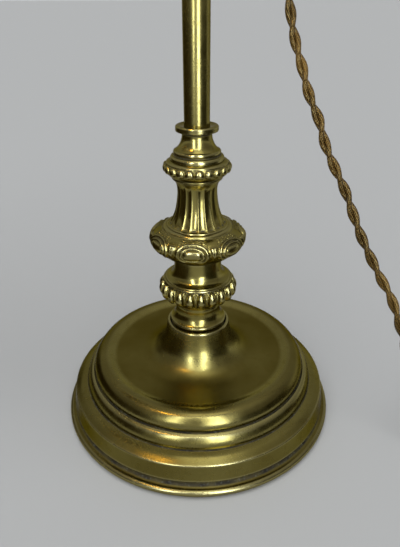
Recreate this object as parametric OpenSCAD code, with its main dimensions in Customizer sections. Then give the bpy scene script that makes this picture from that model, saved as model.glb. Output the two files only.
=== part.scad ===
// Tulip table lamp: a weighted brass stand, a swing arm with a tilting lampholder, a tulip
// glass shade and a twisted cloth flex. Millimetres, +Z up, the axis of the stand is Z, and
// the felt under the base rests on z = 0. The arm points along -X.

/* [Base] */
// Diameter over the rounded foot of the base
base_d = 152; // [140:1:170]
// Wall of the base casting
base_wall = 2.4; // [1.8:0.1:3.2]
// Height of the rounded foot
foot_h = 4.8; // [3.5:0.1:6]
// How far the foot stands out from the plain band
foot_step = 2.7; // [1.5:0.1:4]
// Height of the plain band above the foot
band_h = 12; // [10:0.5:15]
// How far the plain band leans in
band_taper = 2.6; // [1:0.1:4]
// Width of the shoulder above the band
shoulder_w = 6.8; // [5:0.1:9]
// Rise of the shoulder
shoulder_h = 2.6; // [1.5:0.1:4]
// Width of the small ring above the shoulder
ring_w = 3.6; // [2.5:0.1:5]
// Rise of the small ring
ring_h = 7.2; // [5:0.1:9]
// Width of the large roll round the dish
roll_w = 11.7; // [9:0.1:14]
// Rise of the large roll
roll_h = 8.4; // [6:0.1:10]
// Depth of the dish below the roll
dish_depth = 2; // [1:0.1:3]
// Width of the dish from the roll to its lowest ring
dish_w = 18; // [15:0.1:20]
// Height of the centre cone above the roll
cone_h = 19.2; // [16:0.1:24]
// Diameter of the centre cone at its top
cone_top_d = 34; // [32:0.1:36]
// Depth of the seat for the column below the cone's edge
seat_depth = 3; // [2:0.1:4]
// Thickness of the plate under that seat
seat_t = 4; // [3:0.1:6]
// Thickness of the felt disc
felt_t = 2; // [1.5:0.1:3]
// How far the felt stands below the foot
felt_proud = 0.8; // [0.4:0.1:1.2]

/* [Column] */
// Diameter of the column's neck rings
waist_d = 24.2; // [22:0.1:26]
// Height of the column foot
column_foot_h = 18; // [15:0.5:22]
// Diameter of the flared edge of the column foot
column_foot_d = 30.4; // [28:0.1:32]
// Height of the lower beaded collar
lower_collar_h = 24; // [22:0.5:28]
// Diameter over the lower beads
lower_collar_d = 41.2; // [39:0.1:44]
// Number of long beads on the lower collar
lower_beads = 21; // [16:1:24]
// Height of the carved knop
knop_h = 18; // [16:0.5:22]
// Diameter of the carved knop
knop_d = 49; // [45:0.5:54]
// Number of oval bosses round the knop
knop_bosses = 7; // [4:1:8]
// Height of the fluted neck
neck_h = 23.5; // [20:0.5:30]
// Diameter of the fluted neck where it is narrowest
neck_d = 19.7; // [18:0.1:21]
// Number of panels on the fluted neck
neck_panels = 20; // [12:1:24]
// Height of the upper beaded collar
upper_collar_h = 9.5; // [9:0.5:12]
// Diameter over the upper beads
upper_collar_d = 33; // [31:0.1:35]
// Number of round beads on the upper collar
upper_beads = 21; // [16:1:22]
// Height of the stem cap
cap_h = 16; // [15:0.5:20]
// Diameter of the flange on top of the stem cap
cap_flange_d = 20.3; // [18:0.1:23]

/* [Stem] */
// Diameter of the brass stem
stem_d = 12; // [11:0.1:13]
// Length of the stem
stem_l = 200; // [180:1:240]
// Depth of the sockets that hold the stem's ends
stem_socket = 14; // [11:0.5:14]
// Diameter of the tie rod through the column
tie_d = 9.4; // [8.5:0.1:9.8]
// How far the tie rod is screwed into the stem
tie_grip = 25; // [15:1:40]
// Size of the base nut across its flats
nut_af = 16; // [14:0.5:18]
// Height of the base nut
nut_h = 7; // [5:0.5:8]
// Diameter of the base washer
washer_d = 22; // [20:0.5:24]
// Thickness of the base washer
washer_t = 1.6; // [1:0.1:2.5]

/* [Head] */
// Diameter of the round body of the head
head_d = 27; // [25:0.5:32]
// Height of the wiring space in the head
head_space_h = 12; // [11:0.5:16]
// Depth of the socket for the arm's pivot
pivot_socket = 18; // [15:0.5:24]
// Diameter of the arm's pivot
pivot_d = 11; // [10:0.1:12]
// Length of the cord bush outside the head
bush_l = 20; // [20:0.5:30]
// Thickness of the washer under the arm
swing_washer_t = 1; // [0.6:0.1:2]

/* [Arm] */
// Distance from the stem to the lampholder
arm_reach = 144; // [136:1:180]
// Diameter of the arm tube
arm_d = 10; // [9:0.1:10.5]
// Bore of the arm tube
arm_bore_d = 6.8; // [6:0.1:7]
// Straight rise of the arm above its pivot
arm_rise = 7; // [4:0.5:20]
// Straight drop of the arm above the knuckle
arm_drop = 8; // [4:0.5:16]

/* [Knuckle] */
// Width of the knuckle's ears
ear_w = 13; // [11:0.5:15]
// Thickness of each ear
ear_t = 3.2; // [2.5:0.1:4]
// Thickness of the tongue between the ears
tongue_t = 6; // [5:0.1:7]
// Diameter of the knuckle pin
knuckle_pin_d = 4; // [3:0.1:5]

/* [Lampholder] */
// Diameter of the lampholder's cap
holder_d = 31.2; // [30:0.1:34]
// Diameter of the lampholder's body
holder_body_d = 28; // [27:0.1:28.5]
// Length of the lampholder's body below its flange
holder_body_l = 30; // [26:0.5:36]
// Diameter of the push bar
bar_d = 4.5; // [3.5:0.1:5]
// Travel of the push bar
bar_travel = 8; // [4:0.5:10]

/* [Shade] */
// Diameter of the shade's neck
shade_neck_d = 54; // [50:0.5:58]
// Length of the shade's neck
shade_neck_l = 12; // [11:0.5:16]
// Height of the shade below its neck
shade_h = 94; // [84:1:104]
// Diameter of the shade's body
shade_bell_d = 86; // [80:1:92]
// Mean diameter of the shade's rim
shade_rim_d = 108; // [100:1:112]
// Number of petals round the rim
petals = 6; // [5:1:8]
// How far the petals wave in and out at the rim
petal_wave = 3.2; // [1:0.1:4]
// How far the petal tips hang below the mean rim
petal_drop = 4.5; // [2:0.1:6]
// Thickness of the glass
glass_t = 2.8; // [2:0.1:3.5]
// Diameter of the bulb's globe
bulb_d = 45; // [40:1:50]

/* [Cord] */
// Diameter over the two twisted cores of the flex
cord_d = 5.4; // [5:0.1:5.6]
// Radius of the outer turn of the coil
coil_r = 41; // [40:0.5:46]
// Number of turns in the coil
coil_turns = 7.25; // [5.25:1:8.25]
// Distance from one turn to the next
coil_pitch = 6; // [5.9:0.05:6.2]

/* [Plug] */
// Thickness of the flat plug
plug_t = 14; // [12:0.5:16]
// Width of the plug at its pins
plug_w = 35; // [32:0.5:38]
// Length of the plug's body
plug_l = 36; // [30:0.5:42]
// Length of the plug's tapered strain relief
relief_l = 25; // [20:0.5:32]
// Diameter of each plug pin
plug_pin_d = 4; // [3.6:0.1:4.8]
// Length of the plug pins
plug_pin_l = 19; // [17:0.5:21]
// Distance between the plug pins
plug_pin_gap = 18.6; // [17:0.1:20]

/* [Fits] */
// Radial clearance of a turning or sliding fit
run_fit = 0.05; // [0.03:0.01:0.08]
// Radial clearance of a piece that is slipped over another
slip_fit = 0.2; // [0.1:0.05:0.3]
// Gap between faces that move past each other
face_gap = 0.2; // [0.1:0.05:0.4]

/* [Hidden] */
$fn = 64;

// Colours
brass = "#8a7a35";
bright_brass = "#b09a4a";
iron = "#3c3d3f";
steel = "#9a9c9e";
felt_green = "#2f4a33";
flex_gold = "#6b5024";
bakelite = "#3a2417";
porcelain = "#e8e4d8";
frosted_glass = "#f1ead8";

// A small overlap that keeps cuts clean
eps = 0.5;

// Base outline, from the foot inwards and upwards
r_foot = base_d / 2;
r_band_foot = r_foot - foot_step;
r_band_top = r_band_foot - band_taper;
r_shoulder = r_band_top - shoulder_w;
r_ring = r_shoulder - ring_w;
r_roll = r_ring - roll_w;
r_dish = r_roll - dish_w;
r_cone = cone_top_d / 2;
z_rim = felt_proud;
z_foot = z_rim + foot_h;
z_band = z_foot + band_h;
z_shoulder = z_band + shoulder_h;
z_ring = z_shoulder + ring_h;
z_roll = z_ring + roll_h;
z_dish = z_roll - dish_depth;
z_cone = z_roll + cone_h;
z_seat = z_cone - seat_depth;
z_under_seat = z_seat - seat_t;

// Weight, nut and washer under the seat
weight_gap = 0.6;
weight_r = r_band_top - base_wall - weight_gap;
weight_top = z_band - base_wall - weight_gap;
nut_room = 1.2;
recess_r = max(washer_d / 2, nut_af / sqrt(3)) + nut_room;
recess_top = felt_t + 2 * nut_room + nut_h + washer_t;
boss_wall = 4;
boss_top = recess_top + boss_wall;
boss_r = r_cone - base_wall - 3;
tie_r = tie_d / 2;
tie_hole_r = tie_r + slip_fit;
z_tie = recess_top - washer_t - nut_h - nut_room;

// Column pieces stacked on the seat
waist_r = waist_d / 2;
z_collar = z_seat + column_foot_h;
z_knop = z_collar + lower_collar_h;
z_neck = z_knop + knop_h;
z_upper = z_neck + neck_h;
z_cap = z_upper + upper_collar_h;
z_flange = z_cap + cap_h;
stem_r = stem_d / 2;
stem_hole_r = stem_r + run_fit;
z_stem = z_flange - stem_socket;
z_stem_top = z_stem + stem_l;

// Head on top of the stem
head_floor = 3;
z_head = z_stem_top - stem_socket;
z_space = z_stem_top + head_floor;
z_bush = z_space + head_space_h / 2;
z_pivot = z_space + head_space_h;
z_head_top = z_pivot + pivot_socket;
head_r = head_d / 2;
pivot_r = pivot_d / 2;
head_neck_r = pivot_r + 4;
head_top_r = pivot_r + 5.5;
z_lock = z_pivot + pivot_socket * 0.45;
lock_r = 2;
lock_groove = 0.8;
lock_boss_r = 4.5;
lock_boss_y = head_neck_r + 2.5;
cord_r = cord_d / 2;
cord_angle = atan2(3, 4);
bush_r = cord_r + 2.8;
bush_hole_r = cord_r + 0.6;
bush_boss_r = bush_r + 1;
bush_boss_x = head_r + 1.5;

// Swing arm
arm_r = arm_d / 2;
arm_bore_r = arm_bore_d / 2;
wire_r = arm_bore_r - 0.6;
bend_r = arm_reach / 2;
collar_h = 6;
arm_socket = 4;
z_collar_arm = z_head_top + swing_washer_t + face_gap / 2;
z_arm = z_collar_arm + collar_h - arm_socket;
z_bend = z_collar_arm + collar_h + arm_rise;
z_arm_end = z_bend - arm_drop;

// Knuckle at the arm's end
knuckle_x = -arm_reach;
ear_r = ear_w / 2;
slot_w = tongue_t + 2 * face_gap;
fork_w = slot_w + 2 * ear_t;
fork_socket = 5;
fork_floor = 4;
fork_r = max(arm_r + 2.5, ear_r + 0.5);
z_fork = z_arm_end - fork_floor;
z_knuckle = z_fork - ear_r - 3.5;
pin_r = knuckle_pin_d / 2;
knob_hub_r = pin_r + 2;
knob_wing_r = ear_r + 3;
knob_y = fork_w / 2 + face_gap;
knob_l = 6;

// Lampholder, measured down from the knuckle's pin
holder_r = holder_d / 2;
body_r = holder_body_d / 2;
neck_drop = ear_r + 3.5;
tongue_collar_h = 3;
nipple_r = 4.8;
nipple_l = 9;
z_holder = z_knuckle - neck_drop - tongue_collar_h;
boss_h = 7;
dome_h = 10;
skirt_h = 12;
holder_wall = 1.4;
z_dome = z_holder - boss_h;
z_skirt = z_dome - dome_h;
z_body_flange = z_skirt - skirt_h;
bar_r = bar_d / 2;
z_bar = z_dome - dome_h * 0.7;
bar_end_r = bar_r + 1.2;
bar_end_l = 3;
bar_l = holder_d + bar_travel + 2 * bar_end_l + 1;
core_r = body_r - 2.2;
core_room = 1.8;
z_core = z_bar - bar_r - core_room;
core_h = 15;
flange_t = 2;
z_gallery = z_body_flange - flange_t;
z_body_end = z_gallery - holder_body_l;

// Shade gallery, glass and bulb
gallery_t = 1.5;
neck_r = shade_neck_d / 2;
gallery_gap = 2.1;
gallery_r = neck_r + gallery_gap;
gallery_l = shade_neck_l + 2;
shade_seat = 0.3;
z_shade = z_gallery - gallery_t - shade_seat;
z_shade_body = z_shade - shade_neck_l;
shade_ring_h = 6;
shade_ring_r = body_r + 4.5;
screw_r = 2;
screw_count = 3;
screw_tip = 0.1;
z_screw = z_shade - shade_neck_l / 2;
plunger_l = 5;
plunger_r = 1.7;
plunger_x = 4.2;
bulb_cap_r = core_r - 0.8;
bulb_cap_l = 26;
z_bulb = z_core - core_h - plunger_l;
z_globe = z_bulb - bulb_cap_l;
bulb_pin_r = 1;
bulb_pin_z = 7;

// The route of the hanging flex, from the bush to the surface
route = [
    [28, 21, 356], [33.6, 25.2, 356], [38.5, 29, 353.5], [42, 31.5, 347], [43.5, 33, 338],
    [44, 34.5, 326], [44, 36, 310], [43, 37.5, 292], [42.5, 38.5, 274], [42, 38.5, 256],
    [42, 37.5, 238], [42.5, 35.5, 223], [43.5, 32, 211], [46.5, 26, 195], [50.5, 21.5, 182.5],
    [54, 17, 171], [59, 12.5, 160], [62.5, 8.5, 149], [68, 3.5, 137.5], [73, 0, 128],
    [77, -4, 118], [81.5, -8, 107.5], [87, -12, 97], [92, -15.5, 88], [97.5, -19, 79],
    [102, -22.5, 68], [106, -26.5, 56], [109.5, -31, 44], [113, -35, 32.5],
    [117, -40, 22], [122.5, -45, 12.5], [130, -49.5, 6.5], [139, -52.5, 4.2],
    [148.5, -54.2, 3.7], [158, -55, 3.6], [164.6, -55, 3.6]
];
cord_sides = 8;
coil_sides = 6;
coil_steps = 24;
coil_lift = 0.9;
route_end = route[len(route) - 1];
coil_x = route_end[0] + cord_d;
coil_y = route_end[1] + coil_r;
coil_z = coil_lift + cord_r;
tie_wall = 0.8;
tie_w = 14;
tie_angle = 200;
tie_room = 0.5;
plug_z = plug_t / 2;
tail_l = 46;
plug_x = coil_x + coil_r;
relief_y = coil_y + tail_l;
plug_y = relief_y + relief_l;

// A quarter of an ellipse from p to q that leaves p upright and meets q level
function upright(p, q, n = 6) = [
    for (i = [1:n])
        let (a = 90 * i / n)
        [p.x + (q.x - p.x) * (1 - cos(a)), p.y + (q.y - p.y) * sin(a)]
];

// A quarter of an ellipse from p to q that leaves p level and meets q upright
function level(p, q, n = 6) = [
    for (i = [1:n])
        let (a = 90 * i / n)
        [p.x + (q.x - p.x) * sin(a), p.y + (q.y - p.y) * (1 - cos(a))]
];

// A soft step from p to q that is level at both ends
function soft_step(p, q, n = 6) = [
    for (i = [1:n])
        let (t = i / n)
        [p.x + (q.x - p.x) * t, p.y + (q.y - p.y) * (1 - cos(180 * t)) / 2]
];

// A half round from p up to q that stands out by w
function half_round(p, q, w, n = 8) = [
    for (i = [0:n])
        let (a = -90 + 180 * i / n)
        [(p.x + q.x) / 2 + w * cos(a), (p.y + q.y) / 2 + (q.y - p.y) / 2 * sin(a)]
];

// A solid turned about the stand's axis
module turned(points) {
    rotate_extrude() polygon(points);
}

// A solid turned about the lampholder's axis
module hung(points) {
    translate([knuckle_x, 0, 0]) turned(points);
}

// A cylinder whose axis runs along +Y from y
module rod_y(y, length, radius) {
    translate([0, y, 0]) rotate([-90, 0, 0]) cylinder(h = length, r = radius);
}

// Points of a smooth curve through the route, with one step added between each pair
function catmull(a, b, c, d, t) =
    0.5 * (2 * b + (c - a) * t + (2 * a - 5 * b + 4 * c - d) * t * t
        + (3 * b - a - 3 * c + d) * t * t * t);
function smooth_route(p) = let (last = len(p) - 1) concat(
    [
        for (i = [0:last - 1], h = [0, 1])
            h == 0 ? p[i]
                : catmull(p[max(i - 1, 0)], p[i], p[i + 1], p[min(i + 2, last)], 0.5)
    ],
    [p[last]]
);

// One tube of n sides along the points p, as a polyhedron with flat ends. The first ring is
// square to the first step and the last to the last step.
function unit(v) = v / norm(v);
function tangents(p) = let (last = len(p) - 1) [
    for (i = [0:last])
        i == 0 ? unit(p[1] - p[0])
            : i == last ? unit(p[last] - p[last - 1])
            : unit(unit(p[i + 1] - p[i]) + unit(p[i] - p[i - 1]))
];
function carried(v, t) = unit(v - (v * t) * t);
function sides_along(tan, first) = [
    for (i = 0, v = carried(first, tan[0]); i < len(tan);
        i = i + 1, v = i < len(tan) ? carried(v, tan[i]) : v) v
];
module tube(p, radius, n, first) {
    tan = tangents(p);
    side = sides_along(tan, first);
    rings = len(p);
    points = [
        for (i = [0:rings - 1], k = [0:n - 1])
            let (a = 360 * (k + 0.5) / n)
            p[i] + radius * (cos(a) * side[i] + sin(a) * cross(tan[i], side[i]))
    ];
    walls = [
        for (i = [0:rings - 2], k = [0:n - 1], h = [0, 1])
            let (a = i * n + k, b = i * n + (k + 1) % n)
            h == 0 ? [a, a + n, b + n] : [a, b + n, b]
    ];
    start = [for (k = [1:n - 2]) [0, k, k + 1]];
    last = (rings - 1) * n;
    end = [for (k = [1:n - 2]) [last, last + k + 1, last + k]];
    polyhedron(points, concat(walls, start, end));
}

// The coil spirals in and out again, climbs a layer in the half turn where it reverses,
// and leaves along +Y for the plug
function climb(turn) =
    let (t = min(max((turn - coil_turns / 2 + 0.25) / 0.5, 0), 1)) t * t * (3 - 2 * t);
function coil_point(turn) =
    let (
        r = coil_r - coil_pitch * min(turn, coil_turns - turn),
        a = -90 + 360 * turn
    )
    [coil_x + r * cos(a), coil_y + r * sin(a), coil_z + coil_pitch * climb(turn)];
coil_count = coil_turns * coil_steps;
coil_end_z = coil_z + coil_pitch;
coil_turn_points = [for (i = [0:coil_count]) coil_point(i / coil_steps)];
tail_points = [
    for (i = [1:5])
        let (t = i / 5, s = t * t * (3 - 2 * t))
        [plug_x, coil_y + (tail_l - cord_d) * t, coil_end_z + (plug_z - coil_end_z) * s]
];
coil_points = concat(
    [route_end], coil_turn_points, tail_points, [[plug_x, relief_y, plug_z]]
);

// Least gap between turns of the coil, measured on points more than half a turn apart
coil_gap = min([
    for (i = [0:len(coil_turn_points) - 1])
        for (j = [i + coil_steps / 2:len(coil_turn_points) - 1])
            norm(coil_turn_points[i] - coil_turn_points[j])
]) - cord_d;
echo(coil_gap = coil_gap);

// Felt disc under the base
module base_felt() {
    color(felt_green) cylinder(h = felt_t, r = r_band_top - base_wall);
}

// Hollow base casting with its dish and centre cone
module base_shell() {
    recess = column_foot_d / 2;
    outside = concat(
        [[r_band_foot - base_wall, z_rim]],
        half_round([r_band_foot, z_rim], [r_band_foot, z_foot], foot_step),
        [[r_band_top, z_band]],
        upright([r_band_top, z_band], [r_shoulder, z_shoulder], 4),
        upright([r_shoulder, z_shoulder], [r_ring, z_ring]),
        upright([r_ring, z_ring], [r_roll, z_roll], 8),
        soft_step([r_roll, z_roll], [r_dish, z_dish]),
        level([r_dish, z_dish], [r_cone, z_cone], 10),
        [[recess, z_cone], [recess, z_seat], [tie_hole_r, z_seat]]
    );
    inside = concat(
        [[tie_hole_r, z_under_seat], [r_cone - base_wall, z_under_seat]],
        [for (i = [1:8])
            let (a = 90 - 90 * i / 8)
            [
                r_dish - (r_dish - r_cone + base_wall) * sin(a),
                z_dish - base_wall + (z_under_seat - z_dish + base_wall) * (1 - cos(a))
            ]
        ],
        [
            [r_roll, z_roll - dish_depth - base_wall],
            [r_ring - base_wall, z_ring - base_wall],
            [r_shoulder - base_wall, z_shoulder - base_wall],
            [r_band_top - base_wall, z_band - base_wall]
        ]
    );
    color(brass) turned(concat(outside, inside));
}

// Iron weight with a boss that bears under the seat
module base_weight() {
    color(iron) turned([
        [recess_r, felt_t], [weight_r, felt_t], [weight_r, weight_top],
        [recess_r + boss_wall, weight_top], [recess_r + boss_wall, boss_top],
        [boss_r, boss_top], [boss_r, z_under_seat], [tie_hole_r, z_under_seat],
        [tie_hole_r, recess_top], [recess_r, recess_top]
    ]);
}

// Washer between the weight and the nut
module base_washer() {
    color(steel) translate([0, 0, recess_top - washer_t]) difference() {
        cylinder(h = washer_t, r = washer_d / 2);
        translate([0, 0, -eps]) cylinder(h = washer_t + 2 * eps, r = tie_hole_r);
    }
}

// Hexagon nut that draws the stand together
module base_nut() {
    color(steel) translate([0, 0, recess_top - washer_t - nut_h]) difference() {
        cylinder(h = nut_h, r = nut_af / sqrt(3), $fn = 6);
        translate([0, 0, -eps]) cylinder(h = nut_h + 2 * eps, r = tie_r + run_fit);
    }
}

// Threaded tie rod from the nut up into the stem
module tie_rod() {
    color(steel) translate([0, 0, z_tie]) cylinder(h = z_stem + tie_grip - z_tie, r = tie_r);
}

// Foot of the column: a lip, a hollow flare and a plain neck
module column_foot() {
    spigot_r = waist_r + 0.4;
    flare_r = column_foot_d / 2;
    lip = 1.6;
    z_lip = z_seat + seat_depth + 0.4;
    flare_h = 4.6;
    color(brass) turned(concat(
        [[tie_hole_r, z_seat], [spigot_r, z_seat], [spigot_r, z_lip], [flare_r - lip, z_lip]],
        level([flare_r - lip, z_lip], [flare_r, z_lip + lip], 4),
        level([flare_r, z_lip + lip + 0.4], [waist_r, z_lip + lip + 0.4 + flare_h], 6),
        [[waist_r, z_collar], [tie_hole_r, z_collar]]
    ));
}

// Lower collar: a ring of long beads under a hollow waist
module lower_collar() {
    bead_r = 2.2;
    bead_half = 4.2;
    over_r = lower_collar_d / 2;
    core_ring = over_r - bead_r;
    bead_z = z_collar + 7.2;
    top_ring = core_ring - 0.8;
    color(brass) union() {
        turned(concat(
            [[tie_hole_r, z_collar], [waist_r + 1.1, z_collar], [waist_r + 2, z_collar + 0.7]],
            level([waist_r + 1.9, z_collar + 1.3], [core_ring, bead_z - 1.4]),
            upright([core_ring, bead_z + 2], [top_ring, bead_z + 4], 4),
            [[top_ring, bead_z + 5.2], [top_ring - 1.2, bead_z + 5.6]],
            level([top_ring - 1.2, bead_z + 5.6], [waist_r, z_knop - 6], 8),
            [[waist_r, z_knop], [tie_hole_r, z_knop]]
        ));
        for (i = [0:lower_beads - 1])
            rotate([0, 0, -84.7 + 360 * i / lower_beads])
                translate([core_ring, 0, bead_z])
                    rotate_extrude($fn = 24)
                        polygon(concat(
                            [[0, -bead_half]],
                            [for (a = [-67.5:22.5:67.5]) [bead_r * cos(a), bead_half * sin(a)]],
                            [[0, bead_half]]
                        ));
    }
}

// Carved knop with bosses and small strokes between them
module leaf_knop() {
    over_r = knop_d / 2;
    widest = z_knop + knop_h * 0.62;
    boss_out = 0.9;
    boss_ball = 5;
    stroke_r = 1.2;
    stroke_gap = 7;
    color(brass) difference() {
        union() {
            turned(concat(
                [[0, z_knop], [waist_r + 1.1, z_knop], [waist_r + 1.7, z_knop + 1.4]],
                level([waist_r + 1.7, z_knop + 1.4], [over_r - 0.4, widest], 8),
                upright([over_r - 0.4, widest + 0.6], [waist_r + 5.7, z_neck - 1.3], 6),
                [[waist_r + 5.1, z_neck - 0.5], [waist_r + 4.1, z_neck], [0, z_neck]]
            ));
            for (i = [0:knop_bosses - 1])
                rotate([0, 0, -97 + 360 * i / knop_bosses]) {
                    translate([over_r - 0.4 + boss_out - boss_ball, 0, widest - 0.8])
                        sphere(r = boss_ball, $fn = 32);
                    for (k = [-1:1])
                        rotate([0, 0, 180 / knop_bosses + k * stroke_gap])
                            translate([over_r - 0.9, 0, widest - 1])
                                sphere(r = stroke_r, $fn = 24);
                }
        }
        translate([0, 0, z_knop - eps]) cylinder(h = knop_h + 2 * eps, r = tie_hole_r);
    }
}

// Neck that flares at both ends, with fine ridges between shallow panels
module fluted_neck() {
    narrow_r = neck_d / 2;
    foot_r = waist_r + 3.4;
    top_r = narrow_r + 1.6;
    z_narrow = z_neck + neck_h * 0.72;
    panel_depth = 0.35;
    ridge_t = 0.8;
    ridge_in = tie_hole_r + 1;
    function neck_line(depth) = concat(
        [[foot_r - depth, z_neck], [foot_r - depth, z_neck + 0.4]],
        level([foot_r - depth, z_neck + 0.4], [narrow_r - depth, z_narrow], 8),
        upright([narrow_r - depth, z_narrow], [top_r - depth, z_upper], 5)
    );
    color(brass) difference() {
        union() {
            turned(concat([[0, z_neck]], neck_line(panel_depth), [[0, z_upper]]));
            for (i = [0:neck_panels - 1])
                rotate([90, 0, 360 * i / neck_panels - 88])
                    translate([0, 0, -ridge_t / 2])
                        linear_extrude(ridge_t)
                            polygon(concat([[ridge_in, z_neck]], neck_line(0), [[ridge_in, z_upper]]));
        }
        translate([0, 0, z_neck - eps]) cylinder(h = neck_h + 2 * eps, r = tie_hole_r);
    }
}

// Upper collar with its ring of round beads
module upper_collar() {
    bead_r = 1.95;
    bead_out = 1.1;
    over_r = upper_collar_d / 2;
    core_ring = over_r - bead_out;
    bead_z = z_upper + upper_collar_h * 0.64;
    foot_r = neck_d / 2 + 1.7;
    color(brass) union() {
        turned(concat(
            [[tie_hole_r, z_upper], [foot_r, z_upper], [foot_r + 1, z_upper + 0.9]],
            level([foot_r + 0.9, z_upper + 1.6], [core_ring, bead_z - 0.4], 5),
            upright([core_ring, bead_z + 1.2], [core_ring - 2, z_cap - 0.3], 4),
            [[core_ring - 2, z_cap], [tie_hole_r, z_cap]]
        ));
        for (i = [0:upper_beads - 1])
            rotate([0, 0, -86 + 360 * i / upper_beads])
                translate([over_r - bead_r, 0, bead_z]) sphere(r = bead_r, $fn = 24);
    }
}

// Stepped cap with a flat flange round the stem
module stem_cap() {
    flange_r = cap_flange_d / 2;
    flange_h = 2.9;
    edge = 0.4;
    z_rim_low = z_flange - flange_h;
    throat = stem_r + 1.15;
    step_a = upper_collar_d / 2 - 3.55;
    step_b = step_a - 1.55;
    color(brass) turned(concat(
        [[tie_hole_r, z_cap], [step_a, z_cap], [step_a, z_cap + 0.8], [step_a - 0.7, z_cap + 2.2]],
        [[step_b - 0.4, z_cap + 2.6], [step_b, z_cap + 3.5], [step_b, z_cap + 4.2]],
        level([step_b - 0.8, z_cap + 4.9], [throat, z_rim_low - 1.6], 7),
        [[throat, z_rim_low - 0.4], [flange_r - edge, z_rim_low], [flange_r, z_rim_low + edge]],
        [[flange_r, z_flange - edge], [flange_r - edge, z_flange]],
        [[stem_hole_r, z_flange], [stem_hole_r, z_stem], [tie_hole_r, z_stem]]
    ));
}

// Plain brass stem
module stem() {
    color(bright_brass) translate([0, 0, z_stem]) difference() {
        cylinder(h = stem_l, r = stem_r);
        translate([0, 0, -eps]) cylinder(h = stem_l + 2 * eps, r = tie_r + run_fit);
    }
}

// Turned head: stem socket below, wiring space, and the arm's pivot socket above
module head() {
    ring_r = stem_r + 3;
    throat = stem_r + 1.8;
    color(brass) difference() {
        union() {
            turned(concat(
                [[0, z_head], [ring_r - 0.8, z_head], [ring_r, z_head + 1], [ring_r, z_head + 3]],
                [[throat, z_head + 4.5], [throat, z_head + 7]],
                level([throat, z_head + 7], [head_r, z_bush], 8),
                upright([head_r, z_bush], [head_neck_r, z_pivot + 3], 6),
                [[head_neck_r, z_head_top - 5], [head_top_r - 0.8, z_head_top - 4]],
                [[head_top_r, z_head_top - 3], [head_top_r, z_head_top - 0.8]],
                [[head_top_r - 0.8, z_head_top], [0, z_head_top]]
            ));
            translate([0, 0, z_bush]) rotate([0, 90, cord_angle])
                cylinder(h = bush_boss_x, r = bush_boss_r);
            translate([0, 0, z_lock]) rotate([90, 0, 0])
                cylinder(h = lock_boss_y, r = lock_boss_r);
        }
        translate([0, 0, z_head - eps]) cylinder(h = stem_socket + eps, r = stem_hole_r);
        translate([0, 0, z_space]) cylinder(h = head_space_h + eps, r = pivot_r - 1);
        translate([0, 0, z_pivot]) cylinder(h = pivot_socket + eps, r = pivot_r + run_fit);
        translate([0, 0, z_bush]) rotate([0, 90, cord_angle])
            cylinder(h = bush_boss_x + eps, r = bush_hole_r + 0.8);
        translate([0, 0, z_lock]) rotate([90, 0, 0])
            cylinder(h = lock_boss_y + eps, r = lock_r + run_fit);
    }
}

// Fibre washer that the arm turns on
module swing_washer() {
    color("#4a3b2a") translate([0, 0, z_head_top]) difference() {
        cylinder(h = swing_washer_t, r = head_top_r - 0.8);
        translate([0, 0, -eps]) cylinder(h = swing_washer_t + 2 * eps, r = pivot_r + slip_fit);
    }
}

// Tapered bush where the flex leaves the head
module cord_bush() {
    bush_tip = bush_boss_x + bush_l;
    color(bakelite) translate([0, 0, z_bush]) rotate([0, 0, cord_angle]) rotate([0, 90, 0])
        rotate_extrude() polygon([
            [cord_r, bush_boss_x - 8], [bush_hole_r + 0.7, bush_boss_x - 8],
            [bush_hole_r + 0.7, bush_boss_x], [bush_r, bush_boss_x],
            [bush_r, bush_boss_x + 3], [cord_r + 0.7, bush_tip],
            [0, bush_tip], [0, bush_tip - 2], [cord_r, bush_tip - 2]
        ]);
}

// Thumbscrew that locks the swing, with a flat leaf
module lock_screw() {
    tip = pivot_r - lock_groove + face_gap;
    leaf_r = 7;
    leaf_t = 2.4;
    hub_y = lock_boss_y + face_gap;
    hub_l = 4;
    color(bright_brass) translate([0, 0, z_lock]) rotate([0, 0, 180]) {
        rod_y(tip, hub_y + hub_l - tip, lock_r);
        rod_y(hub_y, hub_l, lock_r + 1.5);
        translate([-leaf_t / 2, hub_y + hub_l + leaf_r - 1, 0]) rotate([0, 90, 0])
            cylinder(h = leaf_t, r = leaf_r);
    }
}

// Hollow pivot of the arm, with its collar and the groove for the lock screw
module arm_pivot() {
    z_low = z_pivot + 0.5;
    collar_r = head_top_r - 0.8;
    groove_r = pivot_r - lock_groove;
    groove_half = lock_r + 0.6;
    z_top = z_collar_arm + collar_h;
    color(brass) turned(concat(
        [[arm_bore_r, z_low], [pivot_r, z_low], [pivot_r, z_lock - groove_half]],
        [[groove_r, z_lock - groove_half], [groove_r, z_lock + groove_half]],
        [[pivot_r, z_lock + groove_half], [pivot_r, z_collar_arm], [collar_r, z_collar_arm]],
        upright([collar_r, z_collar_arm + 1.6], [arm_r + 1.6, z_top], 5),
        [[arm_r + run_fit, z_top], [arm_r + run_fit, z_arm], [arm_bore_r, z_arm]]
    ));
}

// The line of the arm as a solid of the given radius: up, over in a half circle and down
module arm_line(radius, z_low, z_end) {
    translate([0, 0, z_low]) cylinder(h = z_bend - z_low, r = radius);
    translate([-bend_r, 0, z_bend]) rotate([90, 0, 0]) rotate_extrude(angle = 180)
        translate([bend_r, 0]) circle(r = radius);
    translate([knuckle_x, 0, z_end]) cylinder(h = z_bend - z_end, r = radius);
}

// Swan neck tube
module swan_neck() {
    color(bright_brass) difference() {
        arm_line(arm_r, z_arm, z_arm_end);
        arm_line(arm_bore_r, z_arm - eps, z_arm_end - eps);
    }
}

// Insulated wire inside the arm
module arm_wire() {
    color(flex_gold) arm_line(wire_r, z_pivot + 1, z_arm_end + 1);
}

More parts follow.
